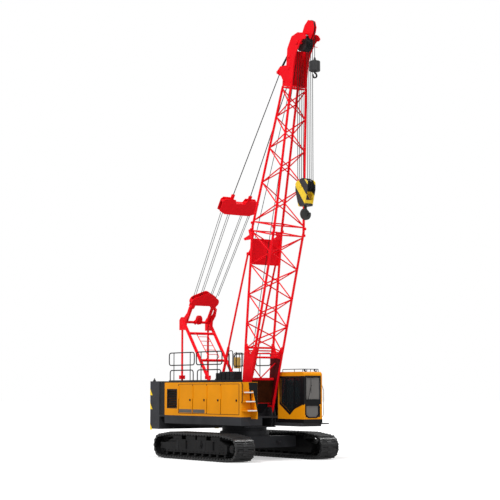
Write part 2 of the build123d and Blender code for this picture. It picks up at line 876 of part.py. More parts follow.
for number in range(rung_count):
    spot = ladder_top + (ladder_end - ladder_top) * ((number + 0.5) / rung_count)
    gantry_bars.append(cylinder_y(spot.X, spot.Z, 12, ladder_y - ladder_half, ladder_y + ladder_half))
guide_x = gantry_x + 160
guide_z = gantry_z + 85
guide_radius = 170.0
guide_pin = 25.0
for s in (-1, 1):
    with BuildPart() as cheek:
        with BuildSketch(Plane.XZ.offset(-s * 66 + 8)):
            with Locations((gantry_x, gantry_z)):
                Circle(90)
            with Locations((guide_x, guide_z)):
                Circle(60)
            make_hull()
        extrude(amount=-16)
    gantry_bars.append(cheek.part)
gantry_bars.append(cylinder_y(guide_x, guide_z, guide_pin, -70, 70))
guide_wheels = [
    sheave(Vector(guide_x, 0, guide_z), across, guide_radius, y - sheave_half, y + sheave_half, guide_pin - 1)
    for y in (-sheave_half, sheave_half)
]
with BuildPart() as gantry:
    add(gantry_bars + guide_wheels)
    with BuildSketch(Plane.XZ.offset(-gantry_half - 80)):
        with Locations((leg_foot_x, leg_foot_z)):
            Circle(foot_pin_radius + pin_clearance)
    extrude(amount=2 * gantry_half + 160, mode=Mode.SUBTRACT)
save(gantry.part, "gantry")

# Winch drums in the middle bay, each on a shaft between the webs
drums = []
for drum_x, drum_z, drum_radius in winches:
    with BuildPart() as drum:
        with BuildSketch(Plane.XZ):
            with Locations((drum_x, drum_z)):
                Circle(drum_radius)
        extrude(amount=drum_half, both=True)
        for s in (-1, 1):
            with BuildSketch(Plane.XZ.offset(-s * drum_half)):
                with Locations((drum_x, drum_z)):
                    Circle(drum_radius + drum_flange)
            extrude(amount=-s * 24)
        with BuildSketch(Plane.XZ):
            with Locations((drum_x, drum_z)):
                Circle(drum_shaft)
        extrude(amount=lug_near - web_thickness - seat_gap, both=True)
    drums.append(drum.part)
with BuildPart() as winch_drums:
    add(drums)
save(winch_drums.part, "winch_drums")

# Cab
cab_mid_y = (cab_inner + wing_half) / 2
door_rear = cab_rear + 260
door_ahead = cab_front - 250
side_window = ((1250, 2000), (1800, 1660), (2050, 1860), (2420, 1980), (2420, 2870), (1250, 2870))
with BuildPart() as cab_shell:
    add(block((cab_rear, cab_inner, cab_bottom), (cab_front, wing_half, cab_top)))
    fillet(cab_shell.edges().filter_by(Axis.Y).group_by(Axis.Z)[-1], cab_corner)
    add(
        block((cab_rear + cab_wall, cab_inner + cab_wall, cab_bottom + cab_wall), (cab_front - cab_wall, wing_half - cab_wall, cab_top - 90)),
        mode=Mode.SUBTRACT,
    )
    add(plate(Plane.XZ, side_window, -cab_inner - 90, -cab_inner + 20), mode=Mode.SUBTRACT)
    add(block((cab_front - 90, cab_inner + 80, 1960), (cab_front + 20, wing_half - 80, 2880)), mode=Mode.SUBTRACT)
    add(block((cab_front - 90, cab_inner + 80, 1500), (cab_front + 20, wing_half - 80, 1900)), mode=Mode.SUBTRACT)
    add(block((cab_rear - 20, cab_inner + 100, 2000), (cab_rear + 90, wing_half - 100, 2880)), mode=Mode.SUBTRACT)
    add(block((door_rear, wing_half - 90, 1400), (door_ahead, wing_half + 20, 2900)), mode=Mode.SUBTRACT)
    add(hinge_barrel(door_rear, 1, 1460, 2150))
    add(block((door_rear - 14, wing_half - 1, 1460), (door_rear, wing_half + 14, 2150)))
save(cab_shell.part, "cab_shell")

with BuildPart() as cab_glass:
    with BuildSketch(Plane.XZ.offset(-cab_inner - 20)):
        with BuildLine():
            Polyline(*side_window, close=True)
        make_face()
        offset(amount=-seat_gap, kind=Kind.INTERSECTION)
    extrude(amount=-glass)
    add(block((cab_front - 30, cab_inner + 80 + seat_gap, 1960 + seat_gap), (cab_front - 30 + glass, wing_half - 80 - seat_gap, 2880 - seat_gap)))
    add(block((cab_front - 30, cab_inner + 80 + seat_gap, 1500 + seat_gap), (cab_front - 30 + glass, wing_half - 80 - seat_gap, 1900 - seat_gap)))
    add(block((cab_rear + 20, cab_inner + 100 + seat_gap, 2000 + seat_gap), (cab_rear + 20 + glass, wing_half - 100 - seat_gap, 2880 - seat_gap)))
save(cab_glass.part, "cab_glass")

with BuildPart() as cab_door:
    add(block((door_rear + seam, wing_half - cab_wall, 1400 + seam), (door_ahead - seam, wing_half, 2900 - seam)))
    add(block((door_rear + 90, wing_half - 90, 1980), (door_ahead - 90, wing_half + 20, 2820)), mode=Mode.SUBTRACT)
    add(hinge_barrel(door_rear, 1, 2150 + seat_gap, 2840))
    add(block((door_rear, wing_half + 2, 2150 + seat_gap), (door_rear + 60, wing_half + 14, 2840)))
    add(block((door_rear + 30, wing_half - 1, 2150 + seat_gap), (door_rear + 60, wing_half + 5, 2840)))
save(cab_door.part, "cab_door")

with BuildPart() as door_glass:
    add(
        block(
            (door_rear + 90 + seat_gap, wing_half - 30, 1980 + seat_gap),
            (door_ahead - 90 - seat_gap, wing_half - 30 + glass, 2820 - seat_gap),
        )
    )
save(door_glass.part, "door_glass")

with BuildPart() as operator_seat:
    add(block((1500, cab_mid_y - 240, 1780), (1980, cab_mid_y + 240, 1900)))
    add(block((1400, cab_mid_y - 230, 1780), (1510, cab_mid_y + 230, 2560)))
    add(block((1560, cab_mid_y - 150, cab_bottom + cab_wall + seat_gap), (1900, cab_mid_y + 150, 1790)))
save(operator_seat.part, "operator_seat")


def boom_size(distance):
    """Half width and half depth between chord centres at a distance from the foot."""
    if distance <= joint_at:
        share = distance / joint_at
        width = foot_width + (joint_width - foot_width) * share
        depth = foot_depth + (joint_depth - foot_depth) * share
    else:
        share = (distance - joint_at) / (head_at - joint_at)
        width = joint_width + (head_width - joint_width) * share
        depth = joint_depth + (head_depth - joint_depth) * share
    return width / 2, depth / 2


def chord_point(distance, side, rear):
    """A point on the centre line of one chord."""
    half_width, half_depth = boom_size(distance)
    return on_boom(distance, rear * half_depth, side * half_width)


chords = ((-1, 1), (-1, -1), (1, -1), (1, 1))


def lattice(start, end, lace_start, lace_end, bays, taper):
    """Four chords with zigzag lacing on every face, and a square frame near each end."""
    bars = [rod(chord_point(start, *c), chord_point(end, *c), chord_radius, 8) for c in chords]
    steps = [taper ** (number / 2) for number in range(2 * bays)]
    scale = (lace_end - lace_start) / sum(steps)
    stations = [lace_start + scale * sum(steps[:number]) for number in range(2 * bays + 1)]
    for number, (low, high) in enumerate(zip(stations[:-1], stations[1:])):
        for corner in range(4):
            other = chords[(corner + 1) % 4]
            here = chords[corner]
            if (corner + number) % 2:
                here, other = other, here
            bars.append(rod(chord_point(low, *here), chord_point(high, *other), lace_radius))
    for distance in (lace_start - chord_radius, lace_end + chord_radius):
        for corner in range(4):
            here = chord_point(distance, *chords[corner])
            other = chord_point(distance, *chords[(corner + 1) % 4])
            bars.append(rod(here, other, lace_radius))
    return bars


leg_tubes = ((1130.0, 0.0, 50.0), (1907.0, 0.0, 36.0), (2200.0, boom_size(2200.0)[1], 36.0))
leg_brace_high = 1743.0
leg_brace_low = 1180.0
leg_web_low = 260.0
leg_web_high = 1130.0
leg_web_half = 14.0
guard_low = 5130.0
guard_high = 6050.0
guard_half = 600.0
guard_thickness = 12.0
butt_end = joint_at - seat_gap / 2
top_start = joint_at + seat_gap / 2

butt_bars = lattice(
    leg_plate_end, butt_end, leg_plate_end, butt_end - frame_inset - chord_radius, 4, butt_taper
)
leg_top = leg_plate_end + leg_plate_lap
leg_half = boom_size(leg_top)[1]
leg_outline = (
    (-130, 0),
    (-60, -125),
    (60, -150),
    (leg_top, -leg_half - chord_radius),
    (leg_top, -leg_half + chord_radius),
    (leg_plate_end - leg_plate_lap, 0),
    (leg_top, leg_half - chord_radius),
    (leg_top, leg_half + chord_radius),
    (60, 150),
    (-60, 125),
)
leg_inner = foot_width / 2
leg_bars = [
    rod(on_boom(at, offset, -leg_inner), on_boom(at, offset, leg_inner), radius, 8) for at, offset, radius in leg_tubes
]
for s in (-1, 1):
    leg_bars.append(rod(on_boom(leg_brace_high, 0, s * leg_inner), on_boom(leg_brace_low, 0, 0), lace_radius))
leg_web = ((leg_web_low, -leg_web_half), (leg_web_high, -leg_web_half), (leg_web_high, leg_web_half), (leg_web_low, leg_web_half))
leg_bars.append(plate(boom_plane, leg_web, -leg_inner, leg_inner))
leg_plates = [
    plate(boom_plane, leg_outline, s * foot_width / 2 - foot_plate / 2, s * foot_width / 2 + foot_plate / 2) for s in (-1, 1)
]
backstop_pins = []
backstop_pin = on_boom(backstop_at, backstop_offset)
lug_foot = boom_size(backstop_at)[1]
backstop_bracket = (
    (backstop_at - 260, lug_foot),
    (backstop_at - 60, backstop_offset - 40),
    (backstop_at + 10, backstop_offset + 60),
    (backstop_at + 70, backstop_offset + 40),
    (backstop_at + 420, lug_foot),
)
for s in (-1, 1):
    low, high = sorted((s * (boom_lug_half - 30), s * boom_lug_half))
    backstop_pins.append(plate(boom_plane, backstop_bracket, -high, -low))
guard_near = boom_size(guard_low)[1] + chord_radius - guard_thickness
guard_far = boom_size(guard_high)[1] + chord_radius - guard_thickness
guard = (
    (guard_low, guard_near),
    (guard_high, guard_far),
    (guard_high, guard_far + guard_thickness),
    (guard_low, guard_near + guard_thickness),
)
ear_outline = ((6030, 600), (5920, 1110), (5980, 1190), (6150, 860), (6290, 950), (6340, 920), (6310, 600))
guard_pieces = [plate(boom_plane, guard, -guard_half - chord_radius, guard_half + chord_radius)]
for s in (-1, 1):
    low, high = sorted((-s * (boom_lug_half - 20), -s * boom_lug_half))
    guard_pieces.append(plate(boom_plane, ear_outline, low, high))
    ear_foot = chord_point(ear_outline[0][0] + 120, s, 1)
    guard_pieces.append(rod(ear_foot, ear_foot - Vector(0, s * 60, 0), 40))
with BuildPart() as boom_butt:
    add(butt_bars + leg_bars + leg_plates + backstop_pins + guard_pieces)
    split(bisect_by=Plane(origin=on_boom(butt_end), z_dir=along), keep=Keep.BOTTOM)
    with BuildSketch(Plane.XZ.offset(-1000)):
        with Locations((foot_x, foot_z)):
            Circle(foot_pin_radius + pin_clearance)
    extrude(amount=2000, mode=Mode.SUBTRACT)
save(boom_butt.part, "boom_butt")

with BuildPart() as boom_top:
    add(lattice(top_start, head_at, top_start + frame_inset + chord_radius, head_at - 2 * chord_radius, 4, top_taper))
    split(bisect_by=Plane(origin=on_boom(top_start), z_dir=along), keep=Keep.TOP)
    split(bisect_by=Plane(origin=on_boom(head_at), z_dir=along), keep=Keep.BOTTOM)
save(boom_top.part, "boom_top")

# Boom head: cheek plates that carry the sheaves, and the lugs of the pendants
head_half = head_width / 2
head_edge = head_depth / 2 + chord_radius
head_outline = (
    (head_at + seat_gap, -head_edge),
    (12350, -240),
    (12660, -300),
    (12860, -400),
    (13010, -480),
    (13110, -580),
    (13120, -700),
    (13200, -760),
    (13320, -620),
    (13350, -270),
    (13204, 70),
    (12990, 160),
    (12780, 240),
    (12200, 180),
    (12160, 540),
    (pendant_at + 60, pendant_offset + 60),
    (pendant_at - 70, pendant_offset + 30),
    (11820, 430),
    (11690, 300),
    (head_at + seat_gap, head_edge),
)
aux_outline = (
    (13345, -170),
    (13620, -255),
    (13810, -430),
    (13770, -700),
    (13560, -815),
    (13386, -805),
    (13145, -680),
    (13312, -480),
)
head_plates = [
    plate(boom_plane, head_outline, s * (head_half - 20) - 20, s * (head_half - 20) + 20) for s in (-1, 1)
]
aux_plates = [plate(boom_plane, aux_outline, s * 50 - 10, s * 50 + 10) for s in (-1, 1)]
head_web = ((head_at + 60, 150), (12750, 150), (12750, 190), (head_at + 60, 190))
head_foot = ((head_at + seat_gap, -head_edge), (head_at + 50, -head_edge), (head_at + 50, head_edge), (head_at + seat_gap, head_edge))
head_tie = ((13300, -560), (13340, -560), (13340, -250), (13300, -250))
with BuildPart() as boom_head:
    add(head_plates + aux_plates)
    for outline in (head_web, head_foot, head_tie):
        add(plate(boom_plane, outline, -head_half + 10, head_half - 10))
    add(
        [
            rod(on_boom(tip_at, head_sheave_offset, -head_half), on_boom(tip_at, head_sheave_offset, head_half), 45, 8),
            rod(on_boom(pendant_at, pendant_offset, -head_half), on_boom(pendant_at, pendant_offset, head_half), 30, 8),
            rod(on_boom(aux_at, aux_offset, -55), on_boom(aux_at, aux_offset, 55), 30, 8),
            rod(on_boom(12940, -400, head_half - 20), on_boom(12890, -860, 154), 12),
        ]
    )
save(boom_head.part, "boom_head")


head_centre = on_boom(tip_at, head_sheave_offset)
aux_centre = on_boom(aux_at, aux_offset)
with BuildPart() as head_sheaves:
    add([sheave(head_centre, across, head_sheave_radius, y - sheave_half, y + sheave_half, 45 + pin_clearance) for y in sheave_rows])
    add(sheave(aux_centre, across, aux_radius, -sheave_half, sheave_half, 30 + pin_clearance))
save(head_sheaves.part, "head_sheaves")

# Backstops: tubes that slide in sleeves when the boom is lowered
stop_start = Vector(backstop_x, 0, backstop_z)
stop_run = (backstop_pin - stop_start).normalized()
sleeves = []
tubes = []
for s in (-1, 1):
    y = Vector(0, s * backstop_half, 0)
    with BuildPart() as sleeve:
        with BuildSketch(Plane(origin=stop_start + y + stop_run * sleeve_start, z_dir=stop_run)):
            RegularPolygon(sleeve_radius, 12)
            RegularPolygon(stop_radius + pin_clearance, 12, mode=Mode.SUBTRACT)
        extrude(amount=sleeve_length)
        for cheek in (-1, 1):
            cheek_y = s * backstop_half + cheek * (web_thickness / 2 + 5 + 10)
            with BuildSketch(Plane.XZ.offset(-cheek_y)):
                with Locations((backstop_x, backstop_z)):
                    Circle(backstop_eye)
                with Locations(Vector(backstop_x, backstop_z) + Vector(stop_run.X, stop_run.Z) * (sleeve_start + 20)):
                    Circle(20)
                make_hull()
                with Locations((backstop_x, backstop_z)):
                    Circle(backstop_pin_radius + pin_clearance, mode=Mode.SUBTRACT)
            extrude(amount=10, both=True)
    sleeves.append(sleeve.part)
    with BuildPart() as tube:
        with BuildSketch(Plane(origin=stop_start + y + stop_run * tube_start, z_dir=stop_run)):
            RegularPolygon(stop_radius, 12)
        extrude(amount=(backstop_pin - stop_start).length - tube_start)
        add(cylinder_y(backstop_pin.X, backstop_pin.Z, backstop_eye, s * backstop_half - 25, s * backstop_half + 25))
        stub = sorted((s * (boom_lug_half + 5), s * (backstop_half + 40)))
        add(cylinder_y(backstop_pin.X, backstop_pin.Z, backstop_pin_radius, *stub))
    tubes.append(tube.part)
with BuildPart() as backstop_sleeves:
    add(sleeves)
save(backstop_sleeves.part, "backstop_sleeves")
with BuildPart() as backstop_tubes:
    add(tubes)
save(backstop_tubes.part, "backstop_tubes")

# Suspension: pendants with the upper spreader, and the lower spreader on the gantry
def spreader(cheek, cores, wheel_at, wheel_y):
    """Two cheeks with cores between them, and a pin near each end for the rope wheels."""
    with BuildPart() as body:
        for level in (-spreader_half_gap - spreader_plate, spreader_half_gap):
            with BuildSketch(stay_plane.offset(level)):
                add(cheek)
            extrude(amount=spreader_plate)
        with BuildSketch(stay_plane):
            for side, distance, width, height in cores:
                with Locations((-side, distance), (side, distance)):
                    Rectangle(width, height)
            with Locations((-wheel_y, wheel_at), (wheel_y, wheel_at)):
                Circle(wheel_pin)
        extrude(amount=spreader_half_gap + 1, both=True)
    return body.part


def stacked_wheels(wheel_at, wheel_y, wheel_radius):
    """The rope wheels of one spreader, two on each pin."""
    wheels = []
    for y in (-wheel_y, wheel_y):
        for level in (-rope_level, rope_level):
            wheels.append(
                sheave(
                    on_stay(wheel_at, 0, y), stay_side, wheel_radius, level - sheave_half, level + sheave_half,
                    wheel_pin + pin_clearance,
                )
            )
    return wheels


upper_wheel_at = upper_spreader_at - spreader_height / 2
lower_wheel_at = lower_spreader_at + spreader_height / 2
pendant_end = upper_spreader_at + pendant_lug
upper_cheek_outline = (
    (-upper_spreader_half, -290),
    (-upper_spreader_half, 120),
    (-upper_spreader_half + 90, 210),
    (-260, 210),
    (-190, 60),
    (190, 60),
    (260, 210),
    (upper_spreader_half - 90, 210),
    (upper_spreader_half, 120),
    (upper_spreader_half, -290),
    (upper_spreader_half - 250, -400),
    (-upper_spreader_half + 250, -400),
)
with BuildSketch() as upper_cheek:
    with BuildLine():
        Polyline(*[(side, upper_spreader_at + distance) for side, distance in upper_cheek_outline], close=True)
    make_face()
upper_cores = (
    (upper_spreader_half / 2 + 90, upper_spreader_at + 90, upper_spreader_half - 210, 60),
    (120, upper_spreader_at + 10, 280, 100),
)
with BuildPart() as upper_spreader:
    add(spreader(upper_cheek.sketch, upper_cores, upper_wheel_at, upper_wheel_y))
    with BuildSketch(stay_plane):
        for s in (-1, 1):
            with Locations((s * pendant_lug_half, upper_spreader_at + 60)):
                Rectangle(120, pendant_lug - 60, align=(Align.CENTER, Align.MIN))
    extrude(amount=30, both=True)
    add(stacked_wheels(upper_wheel_at, upper_wheel_y, upper_wheel_radius))
save(upper_spreader.part, "upper_spreader")

pendant_bars = []
pendant_lean = (pendant_lug_half - pendant_half) / (stay_length - 60 - pendant_end)
pendant_start = pendant_end + seat_gap + pendant_radius * pendant_lean
for s in (-1, 1):
    low_end = on_stay(pendant_start, 0, s * pendant_lug_half)
    high_end = on_stay(stay_length - 60, 0, s * pendant_half)
    pendant_bars.append(rod(low_end, high_end, pendant_radius))
with BuildPart() as pendants:
    add(pendant_bars)
    for s in (-1, 1):
        with BuildSketch(Plane.XZ.offset(-s * pendant_half - 20)):
            with Locations((pendant_pin.X, pendant_pin.Z)):
                Circle(75)
                Circle(30 + pin_clearance, mode=Mode.SUBTRACT)
        extrude(amount=40)
save(pendants.part, "pendants")

# Luffing ropes: of each pair, one rides on the upper spreader and the other on the lower one
upper_lines = []
lower_lines = []
rope_offset = rope_radius + seat_gap - sheave_groove
for s in (-1, 1):
    for edge in (-1, 1):
        high_y = s * upper_wheel_y + edge * (upper_wheel_radius + rope_offset)
        low_y = s * lower_wheel_y + edge * (lower_wheel_radius + rope_offset)
        low_end = on_stay(lower_wheel_at + rope_stop, -rope_level, low_y)
        high_end = on_stay(upper_wheel_at, -rope_level, high_y)
        upper_lines.append(rod(low_end, high_end, rope_radius, corner=across))
        low_end = on_stay(lower_wheel_at, rope_level, low_y)
        high_end = on_stay(upper_wheel_at - rope_stop, rope_level, high_y)
        lower_lines.append(rod(low_end, high_end, rope_radius, corner=across))
with BuildPart() as upper_ropes:
    add(upper_lines)
save(upper_ropes.part, "upper_ropes")
with BuildPart() as lower_ropes:
    add(lower_lines)
save(lower_ropes.part, "lower_ropes")

with BuildSketch() as lower_cheek:
    with Locations((-lower_arch_side, 930), (lower_arch_side, 930), (0, lower_spreader_at + lower_arch_rise)):
        Circle(lower_arch_radius)
    make_hull()
    with Locations((0, lower_base)):
        Rectangle(2000, 400, align=(Align.CENTER, Align.MAX), mode=Mode.SUBTRACT)
    with Locations((-lower_link, lower_link_end), (lower_link, lower_link_end)):
        Circle(70)
        Rectangle(140, lower_base - lower_link_end + 20, align=(Align.CENTER, Align.MIN))
lower_cores = ((lower_link, lower_link_end, 140, 100), (0, 950, 400, 320), (557, 930, 64, 120))
with BuildPart() as lower_spreader:
    add(spreader(lower_cheek.sketch, lower_cores, lower_wheel_at, lower_wheel_y))
    with BuildSketch(stay_plane):
        for s in (-1, 1):
            with Locations((s * lower_link, lower_link_end / 2 - 40)):
                Rectangle(90, lower_link_end)
    extrude(amount=45, both=True)
    with BuildSketch(Plane.XZ.offset(-1000)):
        with Locations((gantry_x, gantry_z)):
            Circle(50 + pin_clearance)
    extrude(amount=2000, mode=Mode.SUBTRACT)
    add(stacked_wheels(lower_wheel_at, lower_wheel_y, lower_wheel_radius))
save(lower_spreader.part, "lower_spreader")

# Hoist rope falls, hook block and hook
fall_x = head_sheave_radius - sheave_groove + rope_radius + seat_gap
with BuildPart() as hoist_ropes:
    add(
        [
            rod(
                (head_centre.X + side * fall_x, y, block_pin_z),
                (head_centre.X + side * fall_x, y, head_centre.Z),
                rope_radius,
            )
            for side, y in ((s, y) for y in sheave_rows for s in (-1, 1))
        ]
    )
save(hoist_ropes.part, "hoist_ropes")

block_x = head_centre.X
cheek_outline = (
    (block_x - block_half, block_pin_z + block_rise - 90),
    (block_x - block_half + 90, block_pin_z + block_rise),
    (block_x + block_half - 90, block_pin_z + block_rise),
    (block_x + block_half, block_pin_z + block_rise - 90),
    (block_x + block_half, block_pin_z - 130),
    (block_x + block_half / 2, block_pin_z - block_drop),
    (block_x - block_half / 2, block_pin_z - block_drop),
    (block_x - block_half, block_pin_z - 130),
)
with BuildPart() as hook_block:
    for s in (-1, 1):
        y = s * block_thickness / 2
        add(plate(Plane.XZ, cheek_outline, -y - 15, -y + 15))
    add(
        block(
            (block_x - block_half / 2, -block_thickness / 2, block_pin_z - block_drop),
            (block_x + block_half / 2, block_thickness / 2, block_pin_z - block_drop + 200),
        )
    )
    add(cylinder_y(block_x, block_pin_z, 45, -block_thickness / 2 - 30, block_thickness / 2 + 30))
    add([sheave(Vector(block_x, 0, block_pin_z), across, head_sheave_radius, y - sheave_half, y + sheave_half, 40) for y in sheave_rows])
save(hook_block.part, "hook_block")

with BuildPart() as hook:
    with BuildSketch(Plane.YZ.offset(block_x)):
        with Locations((0, hook_eye_z)):
            Circle(hook_radius)
            Rectangle(1.1 * hook_radius, 1.2 * hook_radius, align=(Align.MIN, Align.MIN), mode=Mode.SUBTRACT)
        with Locations((0, hook_eye_z + hook_bore + 30)):
            Circle(hook_half + 20)
        with Locations((hook_radius - 50, hook_eye_z + 20)):
            Circle(48)
        with Locations((0, hook_eye_z)):
            Circle(hook_bore, mode=Mode.SUBTRACT)
    extrude(amount=hook_half, both=True)
    with BuildSketch(Plane.XY.offset(hook_eye_z + hook_bore + 30)):
        with Locations((block_x, 0)):
            Circle(50)
    extrude(amount=block_pin_z - block_drop - seat_gap - hook_eye_z - hook_bore - 30)
save(hook.part, "hook")

# Auxiliary rope with its ball and hook
ball_x = aux_centre.X + aux_radius - sheave_groove + rope_radius + seat_gap
with BuildPart() as aux_rope:
    add(rod((ball_x, 0, ball_top + seat_gap), (ball_x, 0, aux_centre.Z), rope_radius))
save(aux_rope.part, "aux_rope")
weight_low = ball_top - 130 - ball_height
with BuildPart() as aux_hook:
    with BuildSketch(Plane.XZ):
        with BuildLine():
            Polyline(
                (ball_x, ball_top),
                (ball_x + 26, ball_top),
                (ball_x + 60, ball_top - 130),
                (ball_x + ball_radius - 20, ball_top - 130),
                (ball_x + ball_radius, ball_top - 150),
                (ball_x + ball_radius, weight_low + 20),
                (ball_x + ball_radius - 20, weight_low),
                (ball_x + 34, weight_low - 20),
                (ball_x + 30, ball_eye_z + 80),
                (ball_x, ball_eye_z + 80),
                close=True,
            )
        make_face()
    revolve(axis=Axis((ball_x, 0, 0), (0, 0, 1)))
    with BuildSketch(Plane.YZ.offset(ball_x)):
        with BuildLine():
            CenterArc((0, ball_eye_z), 80, -200, 290)
        trace(line_width=44)
    extrude(amount=22, both=True)
save(aux_hook.part, "aux_hook")
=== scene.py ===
import math

import bmesh
import bpy
from bpy.props import FloatProperty, FloatVectorProperty, IntProperty, PointerProperty
from bpy.types import Operator, Panel, PropertyGroup
from mathutils import Matrix, Vector
from mathutils.geometry import convex_hull_2d


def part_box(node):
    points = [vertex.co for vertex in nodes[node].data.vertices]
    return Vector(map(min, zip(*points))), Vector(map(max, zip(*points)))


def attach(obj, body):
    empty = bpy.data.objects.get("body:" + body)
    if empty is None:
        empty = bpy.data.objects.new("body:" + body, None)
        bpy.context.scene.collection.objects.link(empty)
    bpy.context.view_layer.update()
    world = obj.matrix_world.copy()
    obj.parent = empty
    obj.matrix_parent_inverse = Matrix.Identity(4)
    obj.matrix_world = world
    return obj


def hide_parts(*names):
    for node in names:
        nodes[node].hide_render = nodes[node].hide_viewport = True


bl_info = {
    "name": "Crawler crane dressing",
    "version": (1, 0, 0),
    "blender": (4, 5, 0),
    "location": "3D View > Sidebar > Crane",
    "description": "Paints a lattice boom crawler crane and adds its fittings",
    "category": "Object",
}

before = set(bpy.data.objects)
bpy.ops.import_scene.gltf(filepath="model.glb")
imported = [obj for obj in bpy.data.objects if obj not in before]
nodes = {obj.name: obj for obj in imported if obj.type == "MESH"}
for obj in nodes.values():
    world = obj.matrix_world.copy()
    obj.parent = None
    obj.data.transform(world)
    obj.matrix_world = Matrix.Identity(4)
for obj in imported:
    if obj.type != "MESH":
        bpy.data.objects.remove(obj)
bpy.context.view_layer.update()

HOUSE_SIDE = 1.5
RAIL_SIDE = 1.46
RAIL_FOOT = 2.75
RAIL_MIDDLE = 3.345
RAIL_TOP = 3.8
FRONT_WALL = 2.621
CAB_SIDE = 0.698
TRACK_SIDE = 1.795
FRAME_HALF_WIDTH = 0.3
SHOE_COUNT = 66
CHEEK_SIDE = 0.326
PENDANT_SIDE = 0.24
ROPE_RADIUS = 0.011

FOOT = Vector((0.793, 0.0, 1.719))
BOOM_ANGLE = math.radians(78.57)
ALONG = Vector((math.cos(BOOM_ANGLE), 0.0, math.sin(BOOM_ANGLE)))
BEHIND = Vector((-ALONG.z, 0.0, ALONG.x))


def colour_property(label, text, value):
    return FloatVectorProperty(
        name=label, description=text, subtype="COLOR", size=3, min=0.0, max=1.0, default=value
    )


class CranePaint(PropertyGroup):
    boom: colour_property("Boom red", "Paint of the boom, gantry and spreaders", (0.87, 0.006, 0.014))
    house: colour_property("House yellow", "Paint of the machinery house and the cab", (0.74, 0.27, 0.004))
    chassis: colour_property("Chassis black", "Paint of the undercarriage", (0.014, 0.014, 0.0145))
    platform: colour_property("Platform grey", "Paint of the revolving platform", (0.036, 0.037, 0.041))
    weight: colour_property("Weight grey", "Paint of the counterweight", (0.046, 0.047, 0.052))
    hazard: colour_property("Hazard yellow", "Warning stripes and triangles", (0.9, 0.62, 0.02))
    canister: colour_property("Canister tan", "Cover of the box on the roof rail", (0.42, 0.25, 0.06))
    plate: colour_property("Plate grey", "Bare plates on the doors", (0.12, 0.11, 0.1))
    # Rail black also colours the black sheets of painted shade on the house.
    rail: colour_property("Rail black", "Paint of handrails and trim", (0.006, 0.006, 0.007))


class CraneSizes(PropertyGroup):
    bolt: FloatProperty(
        name="Bolt head", description="Width of the bolt heads across their flats", default=0.03, min=0.01,
        max=0.08, unit="LENGTH",
    )
    bolt_sides: IntProperty(name="Bolt sides", description="Flats of a bolt head", default=6, min=4, max=12)


def settings():
    scene = bpy.context.scene
    return scene.crane_paint, scene.crane_sizes


# Finishes


def place_node(tree, kind, x, y, **inputs):
    node = tree.nodes.new(kind)
    node.location = (x, y)
    for name, value in inputs.items():
        node.inputs[name.replace("_", " ")].default_value = value
    return node


def grain(tree, coordinates, scale, detail, x, y):
    """Noise on the piece's own coordinates."""
    noise = place_node(tree, "ShaderNodeTexNoise", x, y, Scale=scale, Detail=detail)
    tree.links.new(coordinates.outputs["Object"], noise.inputs["Vector"])
    return noise


def remap(tree, source, low, high, x, y):
    """A texture's value between two levels."""
    node = place_node(tree, "ShaderNodeMapRange", x, y)
    node.inputs["From Min"].default_value = 0.3
    node.inputs["From Max"].default_value = 0.7
    node.inputs["To Min"].default_value = low
    node.inputs["To Max"].default_value = high
    tree.links.new(source, node.inputs["Value"])
    return node.outputs["Result"]


def shade(tree, colour, factor, x, y):
    """A colour darkened by a factor that varies."""
    mix = place_node(tree, "ShaderNodeMix", x, y)
    mix.data_type = "RGBA"
    mix.blend_type = "MULTIPLY"
    mix.inputs["Factor"].default_value = 1.0
    if isinstance(colour, bpy.types.NodeSocket):
        tree.links.new(colour, mix.inputs["A"])
    else:
        mix.inputs["A"].default_value = (*colour, 1.0)
    tree.links.new(factor, mix.inputs["B"])
    return mix.outputs["Result"]


def relief(tree, shader, source, strength, distance):
    """Small bumps from a texture."""
    bump = place_node(tree, "ShaderNodeBump", -220, -320, Strength=strength, Distance=distance)
    tree.links.new(source, bump.inputs["Height"])
    tree.links.new(bump.outputs["Normal"], shader.inputs["Normal"])


def blank_finish(name):
    material = bpy.data.materials.new(name)
    material.use_nodes = True
    tree = material.node_tree
    shader = tree.nodes["Principled BSDF"]
    coordinates = place_node(tree, "ShaderNodeTexCoord", -1300, 0)
    return material, tree, shader, coordinates


def paint(name, colour, roughness=0.4, mottle=0.1, peel=90.0, specular=0.05):
    """Sprayed paint: slow changes of shade, finer scuffs in its gloss, and orange peel."""
    material, tree, shader, coordinates = blank_finish(name)
    shader.inputs["Specular IOR Level"].default_value = specular
    slow = grain(tree, coordinates, 1.7, 3.0, -1000, 200)
    scuffs = grain(tree, coordinates, 14.0, 6.0, -1000, -60)
    fine = grain(tree, coordinates, peel, 2.0, -1000, -320)
    level = remap(tree, slow.outputs["Fac"], 1.0 - mottle, 1.0, -700, 200)
    tree.links.new(shade(tree, colour, level, -420, 200), shader.inputs["Base Color"])
    gloss = remap(tree, scuffs.outputs["Fac"], roughness * 0.8, roughness * 1.3, -700, -60)
    tree.links.new(gloss, shader.inputs["Roughness"])
    relief(tree, shader, fine.outputs["Fac"], 0.12, 0.002)
    return material


def cast_metal(name, colour, roughness=0.6, metallic=0.0, pits=60.0, depth=0.35, specular=0.4):
    """Cast or forged steel with a pitted skin and rubbed patches."""
    material, tree, shader, coordinates = blank_finish(name)
    shader.inputs["Metallic"].default_value = metallic
    shader.inputs["Specular IOR Level"].default_value = specular
    patches = grain(tree, coordinates, 6.0, 8.0, -1000, 200)
    skin = grain(tree, coordinates, pits, 5.0, -1000, -320)
    level = remap(tree, patches.outputs["Fac"], 0.6, 1.25, -700, 200)
    tree.links.new(shade(tree, colour, level, -420, 200), shader.inputs["Base Color"])
    gloss = remap(tree, patches.outputs["Fac"], roughness * 1.2, roughness * 0.8, -700, -60)
    tree.links.new(gloss, shader.inputs["Roughness"])
    relief(tree, shader, skin.outputs["Fac"], depth, 0.004)
    return material


